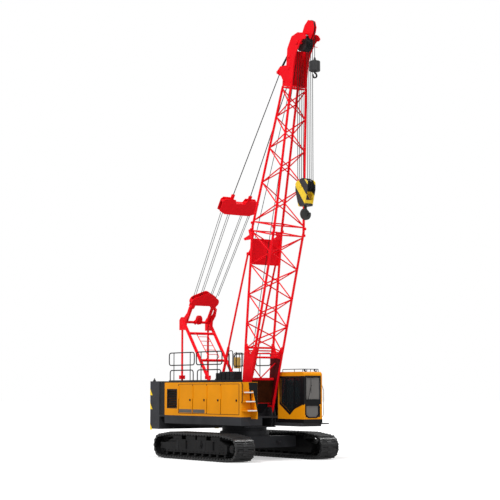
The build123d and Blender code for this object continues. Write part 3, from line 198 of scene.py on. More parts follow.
def wire_rope(name, colour, strand=160.0):
    """Greased wire rope whose strands run round it on a slant."""
    material, tree, shader, coordinates = blank_finish(name)
    shader.inputs["Specular IOR Level"].default_value = 0.1
    shader.inputs["Roughness"].default_value = 0.7
    lay = place_node(tree, "ShaderNodeTexWave", -1000, 0, Scale=strand, Distortion=0.4)
    lay.bands_direction = "DIAGONAL"
    tree.links.new(coordinates.outputs["Object"], lay.inputs["Vector"])
    level = remap(tree, lay.outputs["Fac"], 0.85, 1.15, -700, 0)
    tree.links.new(shade(tree, colour, level, -420, 0), shader.inputs["Base Color"])
    relief(tree, shader, lay.outputs["Fac"], 0.15, 0.001)
    return material


def tinted_glass(name, colour):
    """Tinted cab glass that the seat shows through, with faint streaks."""
    material, tree, shader, coordinates = blank_finish(name)
    shader.inputs["Base Color"].default_value = (*colour, 1.0)
    shader.inputs["Alpha"].default_value = 0.72
    shader.inputs["Specular IOR Level"].default_value = 0.3
    streaks = grain(tree, coordinates, 5.0, 4.0, -1000, -60)
    tree.links.new(remap(tree, streaks.outputs["Fac"], 0.03, 0.09, -700, -60), shader.inputs["Roughness"])
    return material


def striped(name, dark, bright, width, turn):
    """Slanting warning stripes across the piece's own X and Z."""
    material, tree, shader, coordinates = blank_finish(name)
    turned = place_node(tree, "ShaderNodeMapping", -1100, 0)
    turned.inputs["Rotation"].default_value = (0.0, turn, 0.0)
    tree.links.new(coordinates.outputs["Object"], turned.inputs["Vector"])
    parts = place_node(tree, "ShaderNodeSeparateXYZ", -900, 0)
    tree.links.new(turned.outputs["Vector"], parts.inputs["Vector"])
    cut = place_node(tree, "ShaderNodeMath", -720, 0)
    cut.operation = "PINGPONG"
    cut.inputs[1].default_value = width
    tree.links.new(parts.outputs["X"], cut.inputs[0])
    edge = place_node(tree, "ShaderNodeMath", -560, 0)
    edge.operation = "GREATER_THAN"
    edge.inputs[1].default_value = width / 2
    tree.links.new(cut.outputs["Value"], edge.inputs[0])
    bands = place_node(tree, "ShaderNodeMix", -380, 0)
    bands.data_type = "RGBA"
    bands.inputs["A"].default_value = (*dark, 1.0)
    bands.inputs["B"].default_value = (*bright, 1.0)
    tree.links.new(edge.outputs["Value"], bands.inputs["Factor"])
    wear = grain(tree, coordinates, 9.0, 6.0, -1000, -300)
    level = remap(tree, wear.outputs["Fac"], 0.8, 1.0, -700, -300)
    tree.links.new(shade(tree, bands.outputs["Result"], level, -200, 100), shader.inputs["Base Color"])
    tree.links.new(remap(tree, wear.outputs["Fac"], 0.35, 0.55, -700, -160), shader.inputs["Roughness"])
    return material


def woven_cloth(name, colour):
    """Seat cloth: a fine weave with a soft sheen."""
    material, tree, shader, coordinates = blank_finish(name)
    shader.inputs["Roughness"].default_value = 0.85
    shader.inputs["Sheen Weight"].default_value = 0.4
    weave = place_node(tree, "ShaderNodeTexChecker", -1000, 0, Scale=420.0)
    tree.links.new(coordinates.outputs["Object"], weave.inputs["Vector"])
    fuzz = grain(tree, coordinates, 30.0, 5.0, -1000, 240)
    level = remap(tree, fuzz.outputs["Fac"], 0.75, 1.2, -700, 240)
    tree.links.new(shade(tree, colour, level, -420, 240), shader.inputs["Base Color"])
    relief(tree, shader, weave.outputs["Fac"], 0.4, 0.001)
    return material


# Meshes


def finish_piece(name, mesh, material, body, smooth=False):
    """Links a finished mesh as a piece that rides on a body."""
    bmesh.ops.recalc_face_normals(mesh, faces=mesh.faces)
    data = bpy.data.meshes.new(name)
    mesh.to_mesh(data)
    mesh.free()
    data.materials.append(material)
    if smooth:
        data.shade_smooth()
    piece = bpy.data.objects.new(name, data)
    bpy.context.scene.collection.objects.link(piece)
    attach(piece, body)
    return piece


def edges_of(verts):
    """The edges at some vertices, each once and always in the same order."""
    return list(dict.fromkeys(edge for vert in verts for edge in vert.link_edges))


def add_box(mesh, low, high, bevel=0.0, turn=None):
    """A box between two corners, with softened edges."""
    low, high = Vector(low), Vector(high)
    size = high - low
    made = bmesh.ops.create_cube(mesh, size=1.0)["verts"]
    bmesh.ops.transform(mesh, verts=made, matrix=Matrix.Diagonal((*size, 1.0)))
    if bevel:
        made = bmesh.ops.bevel(
            mesh, geom=edges_of(made), offset=bevel, affect="EDGES", segments=2, profile=0.5, material=-1
        )["verts"]
        made = list(dict.fromkeys([vert for face in made[0].link_faces for vert in face.verts] + made[:]))
    if turn is not None:
        bmesh.ops.transform(mesh, verts=made, matrix=turn)
    bmesh.ops.translate(mesh, verts=made, vec=(low + high) / 2)


def add_bar(mesh, start, end, radius, sides=10, tip=None):
    """A round bar, or a cone when its tip has another radius."""
    start, end = Vector(start), Vector(end)
    run = end - start
    matrix = Matrix.Translation((start + end) / 2) @ run.to_track_quat("Z", "Y").to_matrix().to_4x4()
    bmesh.ops.create_cone(
        mesh, cap_ends=True, cap_tris=False, segments=sides, radius1=radius,
        radius2=radius if tip is None else tip, depth=run.length, matrix=matrix,
    )


def add_ring(mesh, centre, axis, radius, thickness, steps=24, sides=8):
    """A torus about an axis."""
    axis = Vector(axis).normalized()
    out = axis.orthogonal().normalized()
    centre = Vector(centre)
    turn = axis.cross(out).to_track_quat("Z", "Y").to_matrix().to_4x4()
    matrix = Matrix.Translation(centre + out * radius) @ turn
    made = bmesh.ops.create_circle(mesh, segments=sides, radius=thickness, matrix=matrix)["verts"]
    bmesh.ops.spin(
        mesh, geom=made + edges_of(made), cent=centre, axis=axis, angle=2 * math.pi, steps=steps,
        use_merge=True, use_duplicate=False,
    )


def thicken(mesh, faces, run):
    made = bmesh.ops.extrude_face_region(mesh, geom=faces)["geom"]
    bmesh.ops.translate(mesh, verts=[item for item in made if isinstance(item, bmesh.types.BMVert)], vec=run)


def add_prism(mesh, outline, run):
    """A flat outline given a thickness."""
    thicken(mesh, [mesh.faces.new([mesh.verts.new(point) for point in outline])], run)


def add_frame(mesh, outer, inner, run):
    """A flat frame between two outlines with as many corners, given a thickness."""
    rings = [[mesh.verts.new(point) for point in outline] for outline in (outer, inner)]
    faces = []
    for number in range(len(outer)):
        ahead = (number + 1) % len(outer)
        faces.append(mesh.faces.new((rings[0][number], rings[0][ahead], rings[1][ahead], rings[1][number])))
    thicken(mesh, faces, run)


def add_bolt(mesh, at, axis):
    """A washer with a chamfered bolt head on it."""
    width, sides = settings()[1].bolt, settings()[1].bolt_sides
    at, axis = Vector(at), Vector(axis).normalized()
    add_bar(mesh, at, at + axis * width * 0.15, width * 0.75, 12)
    add_bar(mesh, at + axis * width * 0.15, at + axis * width * 0.6, width * 0.577, sides)
    add_bar(mesh, at + axis * width * 0.6, at + axis * width * 0.75, width * 0.577, sides, width * 0.48)


def add_pin(mesh, at, axis, radius, height):
    """The end of a pin with its chamfer and a keeper bar."""
    at, axis = Vector(at), Vector(axis).normalized()
    add_bar(mesh, at, at + axis * height * 0.8, radius, 20)
    add_bar(mesh, at + axis * height * 0.8, at + axis * height, radius, 20, radius * 0.8)
    half = axis.orthogonal().normalized() * radius * 1.5
    keeper = at + axis * height * 0.4
    add_bar(mesh, keeper - half, keeper + half, radius * 0.25, 6)


def add_tube(mesh, corners, radius, bend, closed=False, sides=8, steps=4):
    """A round tube along straight runs with bent corners."""
    corners = [Vector(corner) for corner in corners]
    count = len(corners)
    path = []
    for number, corner in enumerate(corners):
        if not closed and number in (0, count - 1):
            path.append(corner)
            continue
        before = (corners[number - 1] - corner).normalized()
        after = (corners[(number + 1) % count] - corner).normalized()
        for step in range(steps + 1):
            share = step / steps
            path.append(corner + before * bend * (1 - share) ** 2 + after * bend * share ** 2)
    rings = []
    for number, spot in enumerate(path):
        ahead = path[(number + 1) % len(path)] if closed or number < len(path) - 1 else spot
        behind = path[number - 1] if closed or number else spot
        turn = (ahead - behind).to_track_quat("Z", "X").to_matrix().to_4x4()
        matrix = Matrix.Translation(spot) @ turn
        ring = bmesh.ops.create_circle(mesh, segments=sides, radius=radius, matrix=matrix)
        rings.append(edges_of(ring["verts"]))
    pairs = list(zip(rings, rings[1:])) + ([(rings[-1], rings[0])] if closed else [])
    for first, second in pairs:
        bmesh.ops.bridge_loops(mesh, edges=first + second)
    if not closed:
        for ring in (rings[0], rings[-1]):
            bmesh.ops.edgeloop_fill(mesh, edges=ring)


def on_boom(distance, offset, side=0.0):
    """A point along the boom from its foot pin, behind its axis by offset."""
    return FOOT + ALONG * distance + BEHIND * offset + Vector((0, side, 0))


class CRANE_OT_finishes(Operator):
    """Paints every solid of the crane with its own finish"""

    bl_idname = "crane.finishes"
    bl_label = "Finishes"

    def execute(self, context):
        colours, _ = settings()
        finishes = {
            "boom paint": paint("boom paint", colours.boom),
            "house paint": paint("house paint", colours.house),
            "chassis paint": paint("chassis paint", colours.chassis, mottle=0.3),
            "platform paint": paint("platform paint", colours.platform, mottle=0.25),
            "weight paint": paint("weight paint", colours.weight, 0.5, mottle=0.25, peel=45.0),
            "rail paint": paint("rail paint", colours.rail, mottle=0.2, specular=0.12),
            "canister paint": paint("canister paint", colours.canister),
            "plate paint": paint("plate paint", colours.plate, 0.3, mottle=0.2),
            "hazard paint": paint("hazard paint", colours.hazard),
            "pale paint": paint("pale paint", (0.75, 0.74, 0.7)),
            # The next two finishes are painted shade for the sheets inside the boom's foot.
            "foot shade": paint("foot shade", (0.07, 0.016, 0.004), 0.6, mottle=0.7),
            "painted shade red": paint("painted shade red", (0.09, 0.004, 0.006), mottle=0.3),
            "polished tube": cast_metal("polished tube", (0.55, 0.55, 0.57), 0.25, 0.9, 30.0, 0.05),
            "track steel": cast_metal("track steel", (0.006, 0.006, 0.0065), 0.4, depth=0.2, specular=0.35),
            "sheave iron": cast_metal("sheave iron", (0.03, 0.03, 0.032), 0.5, 0.2),
            "engine iron": cast_metal("engine iron", (0.12, 0.12, 0.125), 0.6, 0.2),
            "hook steel": cast_metal("hook steel", (0.014, 0.014, 0.015), 0.5, 0.1, 40.0, 0.2),
            "greased rope": wire_rope("greased rope", (0.012, 0.012, 0.013)),
            "cab glass": tinted_glass("cab glass", (0.012, 0.016, 0.018)),
            # Pale grey glass: painted light of the pale sky seen through the windscreen.
            "screen glass with painted sky": tinted_glass("screen glass with painted sky", (0.19, 0.18, 0.172)),
            "seat cloth": woven_cloth("seat cloth", (0.02, 0.02, 0.022)),
            "block stripes": striped("block stripes", colours.rail, colours.hazard, 0.26, math.radians(38)),
        }
        painted = {
            "boom paint": (
                "boom_butt", "boom_top", "boom_head", "gantry", "backstop_sleeves", "backstop_tubes",
                "upper_spreader", "lower_spreader",
            ),
            "house paint": ("house_right", "house_left", "cab_shell", "cab_door", "access_steps"),
            "chassis paint": (
                "track_frame_right", "track_frame_left", "drive_sprockets", "idlers", "track_rollers",
            ),
            "track steel": ("track_right", "track_left"),
            "platform paint": ("platform", "carbody", "slew_ring"),
            "weight paint": ("counterweight",),
            "rail paint": ("handrails", "radiator_grille", "roof_boxes"),
            "polished tube": ("grab_loop",),
            "sheave iron": ("head_sheaves", "winch_drums"),
            "engine iron": ("engine",),
            "hook steel": ("hook", "aux_hook"),
            "block stripes": ("hook_block",),
            "greased rope": ("pendants", "upper_ropes", "lower_ropes", "hoist_ropes", "aux_rope"),
            "cab glass": ("cab_glass", "door_glass"),
            "seat cloth": ("operator_seat",),
        }
        for finish, names in painted.items():
            for name in names:
                set_finish(nodes[name], finishes[finish])
        for name in nodes:
            if name.startswith(("door_left", "door_right")):
                set_finish(nodes[name], finishes["house paint"])
        return {"FINISHED"}


def finish(name):
    return bpy.data.materials[name]


def set_finish(piece, material):
    piece.data.materials.clear()
    piece.data.materials.append(material)


class CRANE_OT_house_trim(Operator):
    """Adds seals, bare plates, latches, warning triangles, roof fittings and black sheets of painted shade
    to the house
    """

    bl_idname = "crane.house_trim"
    bl_label = "House trim"

    def execute(self, context):
        self.seals()
        for name, rear, ahead in (("door_right_1", -2.035, -1.16), ("door_right_2", -1.085, -0.32)):
            mesh = bmesh.new()
            add_box(mesh, (rear, -1.505, 1.625), (ahead, -1.5, 1.752), 0.0015)
            finish_piece(f"bare_plate_{name}", mesh, finish("plate paint"), name)
        for name in nodes:
            if name.startswith("door_") and name != "door_glass":
                self.latch(name)
        self.triangles()
        self.roof()
        self.panels()
        self.rails()
        return {"FINISHED"}

    def panels(self):
        mesh = bmesh.new()
        # Black sheets of painted shade: on the inner faces of the two houses and in the gaps between the
        # counterweight and the house.
        add_box(mesh, (-2.9, 0.81, 1.53), (1.06, 0.817, 2.6), 0.002)
        add_box(mesh, (-2.9, -0.817, 1.53), (1.98, -0.81, 2.6), 0.002)
        for side in (-1, 1):
            add_box(mesh, (-3.41, side * 1.47 - 0.015, 1.525), (-3.05, side * 1.47 + 0.015, 2.75), 0.004)
        # Black sheets of painted shade on the front faces of the houses beside the boom foot.
        front_shade_sheet = ((-1.2, 2.70), (-0.825, 2.70), (-0.825, 1.53), (-1.06, 1.53))
        add_prism(mesh, [(1.9905, y, z) for y, z in front_shade_sheet], (0.004, 0, 0))
        corner = ((0.83, 2.70), (0.7, 2.70), (0.7, 1.53), (0.83, 1.53))
        add_prism(mesh, [(1.065, y, z) for y, z in corner], (0.02, 0, 0))
        finish_piece("painted_shade_panels", mesh, finish("rail paint"), "upperworks")
        mesh = bmesh.new()
        for z, edge in ((2.37, 2.14), (2.06, 2.25), (1.75, 2.36)):
            add_box(mesh, (edge - 0.03, -1.478, z - 0.028), (edge + 0.006, -1.102, z + 0.012), 0.004)
        finish_piece("step_nosings", mesh, finish("pale paint"), "upperworks")
        mesh = bmesh.new()
        grab = ((2.0, 2.7), (2.05, 2.6), (2.05, 2.1), (2.0, 2.0))
        add_tube(mesh, [(x, -1.49, z) for x, z in grab], 0.013, 0.04)
        finish_piece("grab_rail", mesh, finish("rail paint"), "upperworks")

    def rails(self):
        mesh = bmesh.new()
        frames = (
            (-1, -2.79, -1.071, (-2.462, -1.347)), (-1, -0.933, 0.732, (-0.62, 0.43)),
            (1, -2.79, -1.5, (-2.462, -1.8)), (1, -1.36, -0.42, (-1.1,)),
        )
        for side, rear, ahead, posts in frames:
            y = side * RAIL_SIDE
            top = [(x, y, z) for x, z in (
                (rear, RAIL_MIDDLE), (ahead, RAIL_MIDDLE), (ahead, RAIL_TOP), (rear, RAIL_TOP)
            )]
            add_tube(mesh, top, 0.02, 0.12, True)
            low, high = rear + 0.07, ahead - 0.07
            if side < 0:
                guard = ((low, y, RAIL_FOOT), (low, y, 3.16), (high, y, 3.16), (high, y, RAIL_FOOT))
                add_tube(mesh, guard, 0.02, 0.12)
            for x in posts:
                add_bar(mesh, (x, y, RAIL_FOOT), (x, y, RAIL_TOP), 0.016, 8)
        for rear, ahead, low, high in ((1.151, 1.40, 3.133, 3.8), (1.461, 2.018, 3.263, 3.71)):
            outline = ((rear, low), (ahead, low), (ahead, high), (rear, high))
            corners = [(x, -RAIL_SIDE, z) for x, z in outline]
            add_tube(mesh, corners, 0.015, 0.08, True)
        for x in (1.19, 1.95):
            add_bar(mesh, (x, -RAIL_SIDE, RAIL_FOOT), (x, -RAIL_SIDE, 3.7), 0.014, 8)
        for side, ahead in ((-1, 1.99), (1, 0.732)):
            y = side * RAIL_SIDE
            add_box(mesh, (-2.79, y - 0.019, 2.716), (ahead, y + 0.019, 2.798), 0.004)
        add_bar(mesh, (1.62, -RAIL_SIDE, 3.75), (1.62, -RAIL_SIDE, 3.2), 0.02, 8)
        roof = [(1.3, 0.76), (1.99, 0.76), (2.48, 0.76), (2.48, 1.1), (2.48, 1.44)]
        for x, y in roof:
            add_bar(mesh, (x, y, 3.081), (x, y, 3.17), 0.011, 8)
        add_tube(mesh, [(1.3, 0.76, 3.17), (2.48, 0.76, 3.17), (2.48, 1.44, 3.17)], 0.013, 0.05)
        rails = finish_piece("rails", mesh, finish("rail paint"), "upperworks", True)
        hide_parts("handrails")

    def seals(self):
        mesh = bmesh.new()
        for side, seams in ((-1, (-2.07, -1.12, -0.19, 0.7, 1.85)), (1, (-2.07, -1.12, -0.19, 0.96))):
            inner, outer = side * HOUSE_SIDE - 0.002, side * HOUSE_SIDE + 0.002
            for x in seams:
                add_box(mesh, (x - 0.013, inner, 1.6), (x + 0.013, outer, 2.65), 0.0008)
            for z in (1.597, 2.653):
                add_box(mesh, (seams[0], inner, z - 0.006), (seams[-1], outer, z + 0.006))
        finish_piece("door_seals", mesh, finish("rail paint"), "upperworks")

    def latch(self, name):
        low, high = (Vector(corner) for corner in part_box(name))
        side = -1 if "right" in name else 1
        ahead = high.x + 0.023
        at = Vector((ahead - 0.16, side * 1.508, 2.085))
        mesh = bmesh.new()
        add_ring(mesh, at, (0, 1, 0), 0.036, 0.009, 20, 6)
        add_bar(mesh, at, at + Vector((0, side * 0.012, 0)), 0.028, 16, 0.022)
        grip, half = at + Vector((0, side * 0.012, 0)), Vector((0.006, 0.008, 0.024))
        add_box(mesh, grip - half, grip + half, 0.002)
        finish_piece(f"latch_{name}", mesh, finish("rail paint"), name)

    def triangles(self):
        mesh = bmesh.new()
        for side in (-1, 1):
            for top in (2.62, 2.1, 1.33):
                low = top - 0.375
                bend = low + 0.375 * (1 - 0.085 / 0.25)
                corner = [(-4.147, side * 1.441), (-4.087, side * 1.501), (-3.922, side * 1.501)]
                slant = [(*corner[0], low), (*corner[1], low), (*corner[1], bend), (*corner[0], top)]
                flat = [(*corner[1], low), (*corner[2], low), (*corner[1], bend)]
                add_prism(mesh, slant, (-0.002, side * 0.002, 0.0))
                add_prism(mesh, flat, (0.0, side * 0.002, 0.0))
        finish_piece("warning_triangles", mesh, finish("hazard paint"), "upperworks")

    def roof(self):
        mesh = bmesh.new()
        for y in (-1.38, 1.38):
            at = Vector((-3.98, y, 2.768))
            add_bar(mesh, at, at + Vector((0, 0, 0.05)), 0.06, 16, 0.045)
            add_bar(mesh, at + Vector((0, 0, 0.05)), at + Vector((0, 0, 0.11)), 0.03, 16, 0.018)
        finish_piece("roof_beacons", mesh, finish("rail paint"), "upperworks")
        mesh = bmesh.new()
        for rear, ahead, top in ((0.16, 0.4, 3.04), (0.4, 0.78, 3.085), (0.8, 1.36, 3.085)):
            add_box(mesh, (rear, -1.35, 2.716), (ahead, -1.03, top), 0.016)
            add_box(mesh, (rear + 0.03, -1.358, 2.78), (ahead - 0.03, -1.346, top - 0.06), 0.004)
            add_bar(mesh, (rear + 0.1, -1.365, top - 0.12), (ahead - 0.1, -1.365, top - 0.12), 0.01, 8)
        boxes = finish_piece("lockers", mesh, finish("rail paint"), "upperworks")
        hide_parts("roof_boxes")
        mesh = bmesh.new()
        add_box(mesh, (1.45, -1.452, 3.19), (1.7, -1.322, 3.57), 0.02)
        for z in (3.27, 3.49):
            add_box(mesh, (1.445, -1.457, z - 0.012), (1.705, -1.317, z + 0.012), 0.003)
        finish_piece("roof_canister", mesh, finish("canister paint"), "upperworks")


class CRANE_OT_cab_trim(Operator):
    """Adds the black surrounds, a pale glass with painted sky light over the windscreen, wiper and lamps of
    the cab
    """

    bl_idname = "crane.cab_trim"
    bl_label = "Cab trim"

    def execute(self, context):
        black = finish("rail paint")
        mesh = bmesh.new()
        outer = ((1.19, 1.95), (1.80, 1.57), (2.07, 1.78), (2.50, 1.92), (2.50, 2.93), (1.19, 2.93))
        inner = (
            (1.262, 2.007), (1.80, 1.675), (2.043, 1.869), (2.408, 1.992), (2.408, 2.858), (1.262, 2.858)
        )
        self.window(mesh, outer, inner, lambda x, z: (x, CAB_SIDE, z), (0, -0.006, 0))
        for x in (1.55, 2.06):
            add_box(mesh, (x - 0.022, 0.692, 1.9), (x + 0.022, 0.712, 2.87), 0.004)
        add_box(mesh, (2.49, 0.693, 1.93), (2.624, 0.712, 2.93), 0.004)
        add_box(mesh, (2.60, 0.693, 1.95), (2.626, 0.78, 2.93), 0.004)
        add_box(mesh, (1.085, 0.694, 1.30), (2.624, 0.706, 1.43), 0.003)
        add_box(mesh, (2.616, 0.694, 1.30), (2.626, 1.506, 1.43), 0.003)
        front = ((0.74, 1.95), (1.44, 1.95), (1.44, 2.94), (0.74, 2.94))
        screen = ((0.80, 2.12), (1.39, 2.12), (1.39, 2.87), (0.80, 2.87))
        self.window(mesh, front, screen, lambda y, z: (FRONT_WALL, y, z), (0.006, 0, 0))
        foot = ((0.88, 1.47), (1.27, 1.47), (1.37, 1.58), (1.37, 1.95), (0.75, 1.95), (0.75, 1.58))
        pane = ((0.90, 1.51), (1.25, 1.51), (1.33, 1.60), (1.33, 1.89), (0.80, 1.89), (0.80, 1.60))
        self.window(mesh, foot, pane, lambda y, z: (FRONT_WALL, y, z), (0.006, 0, 0))
        finish_piece("cab_surrounds", mesh, black, "upperworks")
        mesh = bmesh.new()
        # A pale sheet over the windscreen and the lower pane: painted light of the sky seen through them.
        add_box(mesh, (2.598, 0.79, 2.11), (2.602, 1.41, 2.875), 0.001)
        add_prism(mesh, [(2.598, y, z) for y, z in pane], (0.004, 0, 0))
        finish_piece("screen_painted_sky", mesh, finish("screen glass with painted sky"), "upperworks")
        self.wiper(black)
        self.lamps(black)
        return {"FINISHED"}

    def window(self, mesh, outer, inner, place, run):
        add_frame(mesh, [place(*point) for point in outer], [place(*point) for point in inner], run)

    def wiper(self, black):
        mesh = bmesh.new()
        pivot = Vector((2.632, 0.86, 2.07))
        tip = Vector((2.64, 1.02, 2.62))
        add_bar(mesh, pivot - Vector((0.01, 0, 0)), pivot + Vector((0.02, 0, 0)), 0.022, 16, 0.016)
        add_bar(mesh, pivot + Vector((0.012, 0, 0)), tip, 0.007, 8)
        add_box(mesh, (2.628, 1.0, 2.34), (2.636, 1.012, 2.84), 0.002)
        finish_piece("cab_wiper", mesh, black, "upperworks")

    def lamps(self, black):
        housing = bmesh.new()
        lens = bmesh.new()
        for x, y in ((2.5, 0.86), (2.5, 1.3)):
            at = Vector((x, y, 3.13))
            add_bar(housing, at - Vector((0, 0, 0.05)), at, 0.012, 8)
            add_bar(housing, at - Vector((0.05, 0, 0)), at + Vector((0.03, 0, 0)), 0.04, 20, 0.055)
            add_ring(housing, at + Vector((0.032, 0, 0)), (1, 0, 0), 0.05, 0.006, 20, 6)
            add_bar(lens, at + Vector((0.03, 0, 0)), at + Vector((0.037, 0, 0)), 0.046, 20, 0.04)
        finish_piece("cab_lamp_housings", housing, black, "upperworks")
        finish_piece("cab_lamp_lenses", lens, finish("polished tube"), "upperworks")


class CRANE_OT_seat(Operator):
    """Builds the operator's seat with padded cushions"""

    bl_idname = "crane.seat"
    bl_label = "Seat"

    def execute(self, context):
        cloth = finish("seat cloth")
        base = bmesh.new()
        add_box(base, (1.57, 0.96, 1.351), (1.89, 1.24, 1.38), 0.006)
        add_box(base, (1.64, 1.02, 1.38), (1.82, 1.18, 1.74), 0.02)
        add_box(base, (1.52, 0.88, 1.74), (1.96, 1.32, 1.79), 0.012)
        base_piece = finish_piece("seat_base", base, finish("rail paint"), "upperworks")
        pads = [
            self.pad("seat_cushion", (1.5, 0.86, 1.79), (1.98, 1.34, 1.9), cloth),
            self.pad("seat_back", (1.4, 0.87, 1.84), (1.51, 1.33, 2.56), cloth),
        ]
        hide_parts("operator_seat")
        return {"FINISHED"}

    def pad(self, name, low, high, cloth):
        """A crowned cushion whose sides pull in between its corners."""
        low, high = Vector(low), Vector(high)
        middle, half = (low + high) / 2, (high - low) / 2
        thin = min(range(3), key=lambda axis: half[axis])
        mesh = bmesh.new()
        bmesh.ops.create_cube(mesh, size=2.0)
        bmesh.ops.subdivide_edges(mesh, edges=mesh.edges[:], cuts=7, use_grid_fill=True)
        wide = [axis for axis in range(3) if axis != thin]
        for vert in mesh.verts:
            spread = (1 - vert.co[wide[0]] ** 2) * (1 - vert.co[wide[1]] ** 2)
            level = 0.55 + 0.42 * spread
            for axis in wide:
                other = wide[1] if axis == wide[0] else wide[0]
                vert.co[axis] *= 0.97 - 0.03 * (1 - vert.co[other] ** 2)
            vert.co[thin] *= level
            vert.co = middle + Vector(vert.co[axis] * half[axis] for axis in range(3))
        piece = finish_piece(name, mesh, cloth, "upperworks", True)
        rounding = piece.modifiers.new("rounding", "SUBSURF")
        rounding.levels = rounding.render_levels = 1
        return piece


class CRANE_OT_rigging(Operator):
    """Winds rope on the drums, lays ropes behind the boom, puts painted shade inside its foot and pins its
    foot, sections and head
    """

    bl_idname = "crane.rigging"
    bl_label = "Rigging"

    def execute(self, context):
        mesh = bmesh.new()
        for x, z, radius in ((-1.15, 1.9, 0.23), (-1.9, 1.9, 0.23), (-2.6, 1.86, 0.2)):
            for turn in range(30):
                add_ring(mesh, (x, -0.36 + turn * 0.0248, z), (0, 1, 0), radius + 0.012, 0.0118, 24, 6)
        finish_piece("drum_windings", mesh, finish("greased rope"), "upperworks", True)
        mesh = bmesh.new()
        add_bar(mesh, on_boom(12.25, -0.1, -0.12), on_boom(2.2, 0.345, -0.25), ROPE_RADIUS, 8)
        add_bar(mesh, on_boom(11.9, 0.45, 0.2), on_boom(6.05, 0.9, -0.3), ROPE_RADIUS, 8)
        finish_piece("boom_ropes", mesh, finish("greased rope"), "boom", True)
        self.foot()
        self.pins()
        self.links()
        return {"FINISHED"}

    def foot(self):
        """Dark brown and dark red sheets of painted shade on the inside of the boom's foot."""
        mesh = bmesh.new()
        # A dark brown sheet of painted shade over the web between the legs.
        corners = [on_boom(t, -0.02, y) for t, y in ((0.28, -0.54), (0.28, 0.54), (1.1, 0.54), (1.1, -0.54))]
        add_prism(mesh, corners, -BEHIND * 0.004)
        finish_piece("foot_painted_shade", mesh, finish("foot shade"), "boom")
        mesh = bmesh.new()
        # A dark red sheet of painted shade on the inner face of the leg.
        corners = [on_boom(t, n, 0.545) for t, n in ((0.2, -0.1), (1.9, -0.3), (1.9, 0.3), (0.2, 0.1))]
        add_prism(mesh, corners, (0, -0.003, 0))
        finish_piece("foot_inner_painted_shade", mesh, finish("painted shade red"), "boom")

    def pins(self):
        """Pins with their keepers at the boom's foot, section joint and head."""
        mesh = bmesh.new()
        for side in (-1, 1):
            out = Vector((0, side, 0))
            add_pin(mesh, on_boom(0, 0, side * 0.616), out, 0.05, 0.05)
            cheek = side * CHEEK_SIDE
            add_pin(mesh, on_boom(13.0, -0.32, cheek), out, 0.06, 0.04)
            add_pin(mesh, on_boom(11.95, 0.62, cheek), out, 0.05, 0.05)
            for t, n in ((11.65, 0.2), (11.65, -0.2), (12.1, 0.0), (12.5, 0.05)):
                add_pin(mesh, on_boom(t, n, cheek), out, 0.035, 0.025)
            for distance in (6.36, 6.6):
                for offset in (-0.655, 0.655):
                    add_pin(mesh, on_boom(distance, offset, side * 0.66), out, 0.045, 0.06)
        finish_piece("boom_pins", mesh, finish("boom paint"), "boom")

    def links(self):
        """Pendant end links at the head and the latch of the main hook."""
        mesh = bmesh.new()
        for side in (-PENDANT_SIDE, PENDANT_SIDE):
            add_bar(mesh, on_boom(11.95, 0.66, side), on_boom(12.55, 0.28, side), 0.045, 8, 0.03)
        finish_piece("pendant_links", mesh, finish("rail paint"), "boom")
        low, high = (Vector(corner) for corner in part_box("hook"))
        centre = (low + high) / 2
        curve = min((high.y - low.y) / 2, 0.2)
        radius = 0.85 * curve
        mesh = bmesh.new()
        plate = []
        for number in range(20):
            angle = math.radians(-160 + 17 * number)
            y, z = centre.y + radius * math.cos(angle), low.z + curve + radius * math.sin(angle)
            plate.append((centre.x - 0.02, y, z))
        add_prism(mesh, plate, (0.04, 0, 0))
        finish_piece("hook_latch", mesh, finish("hook steel"), "hook")


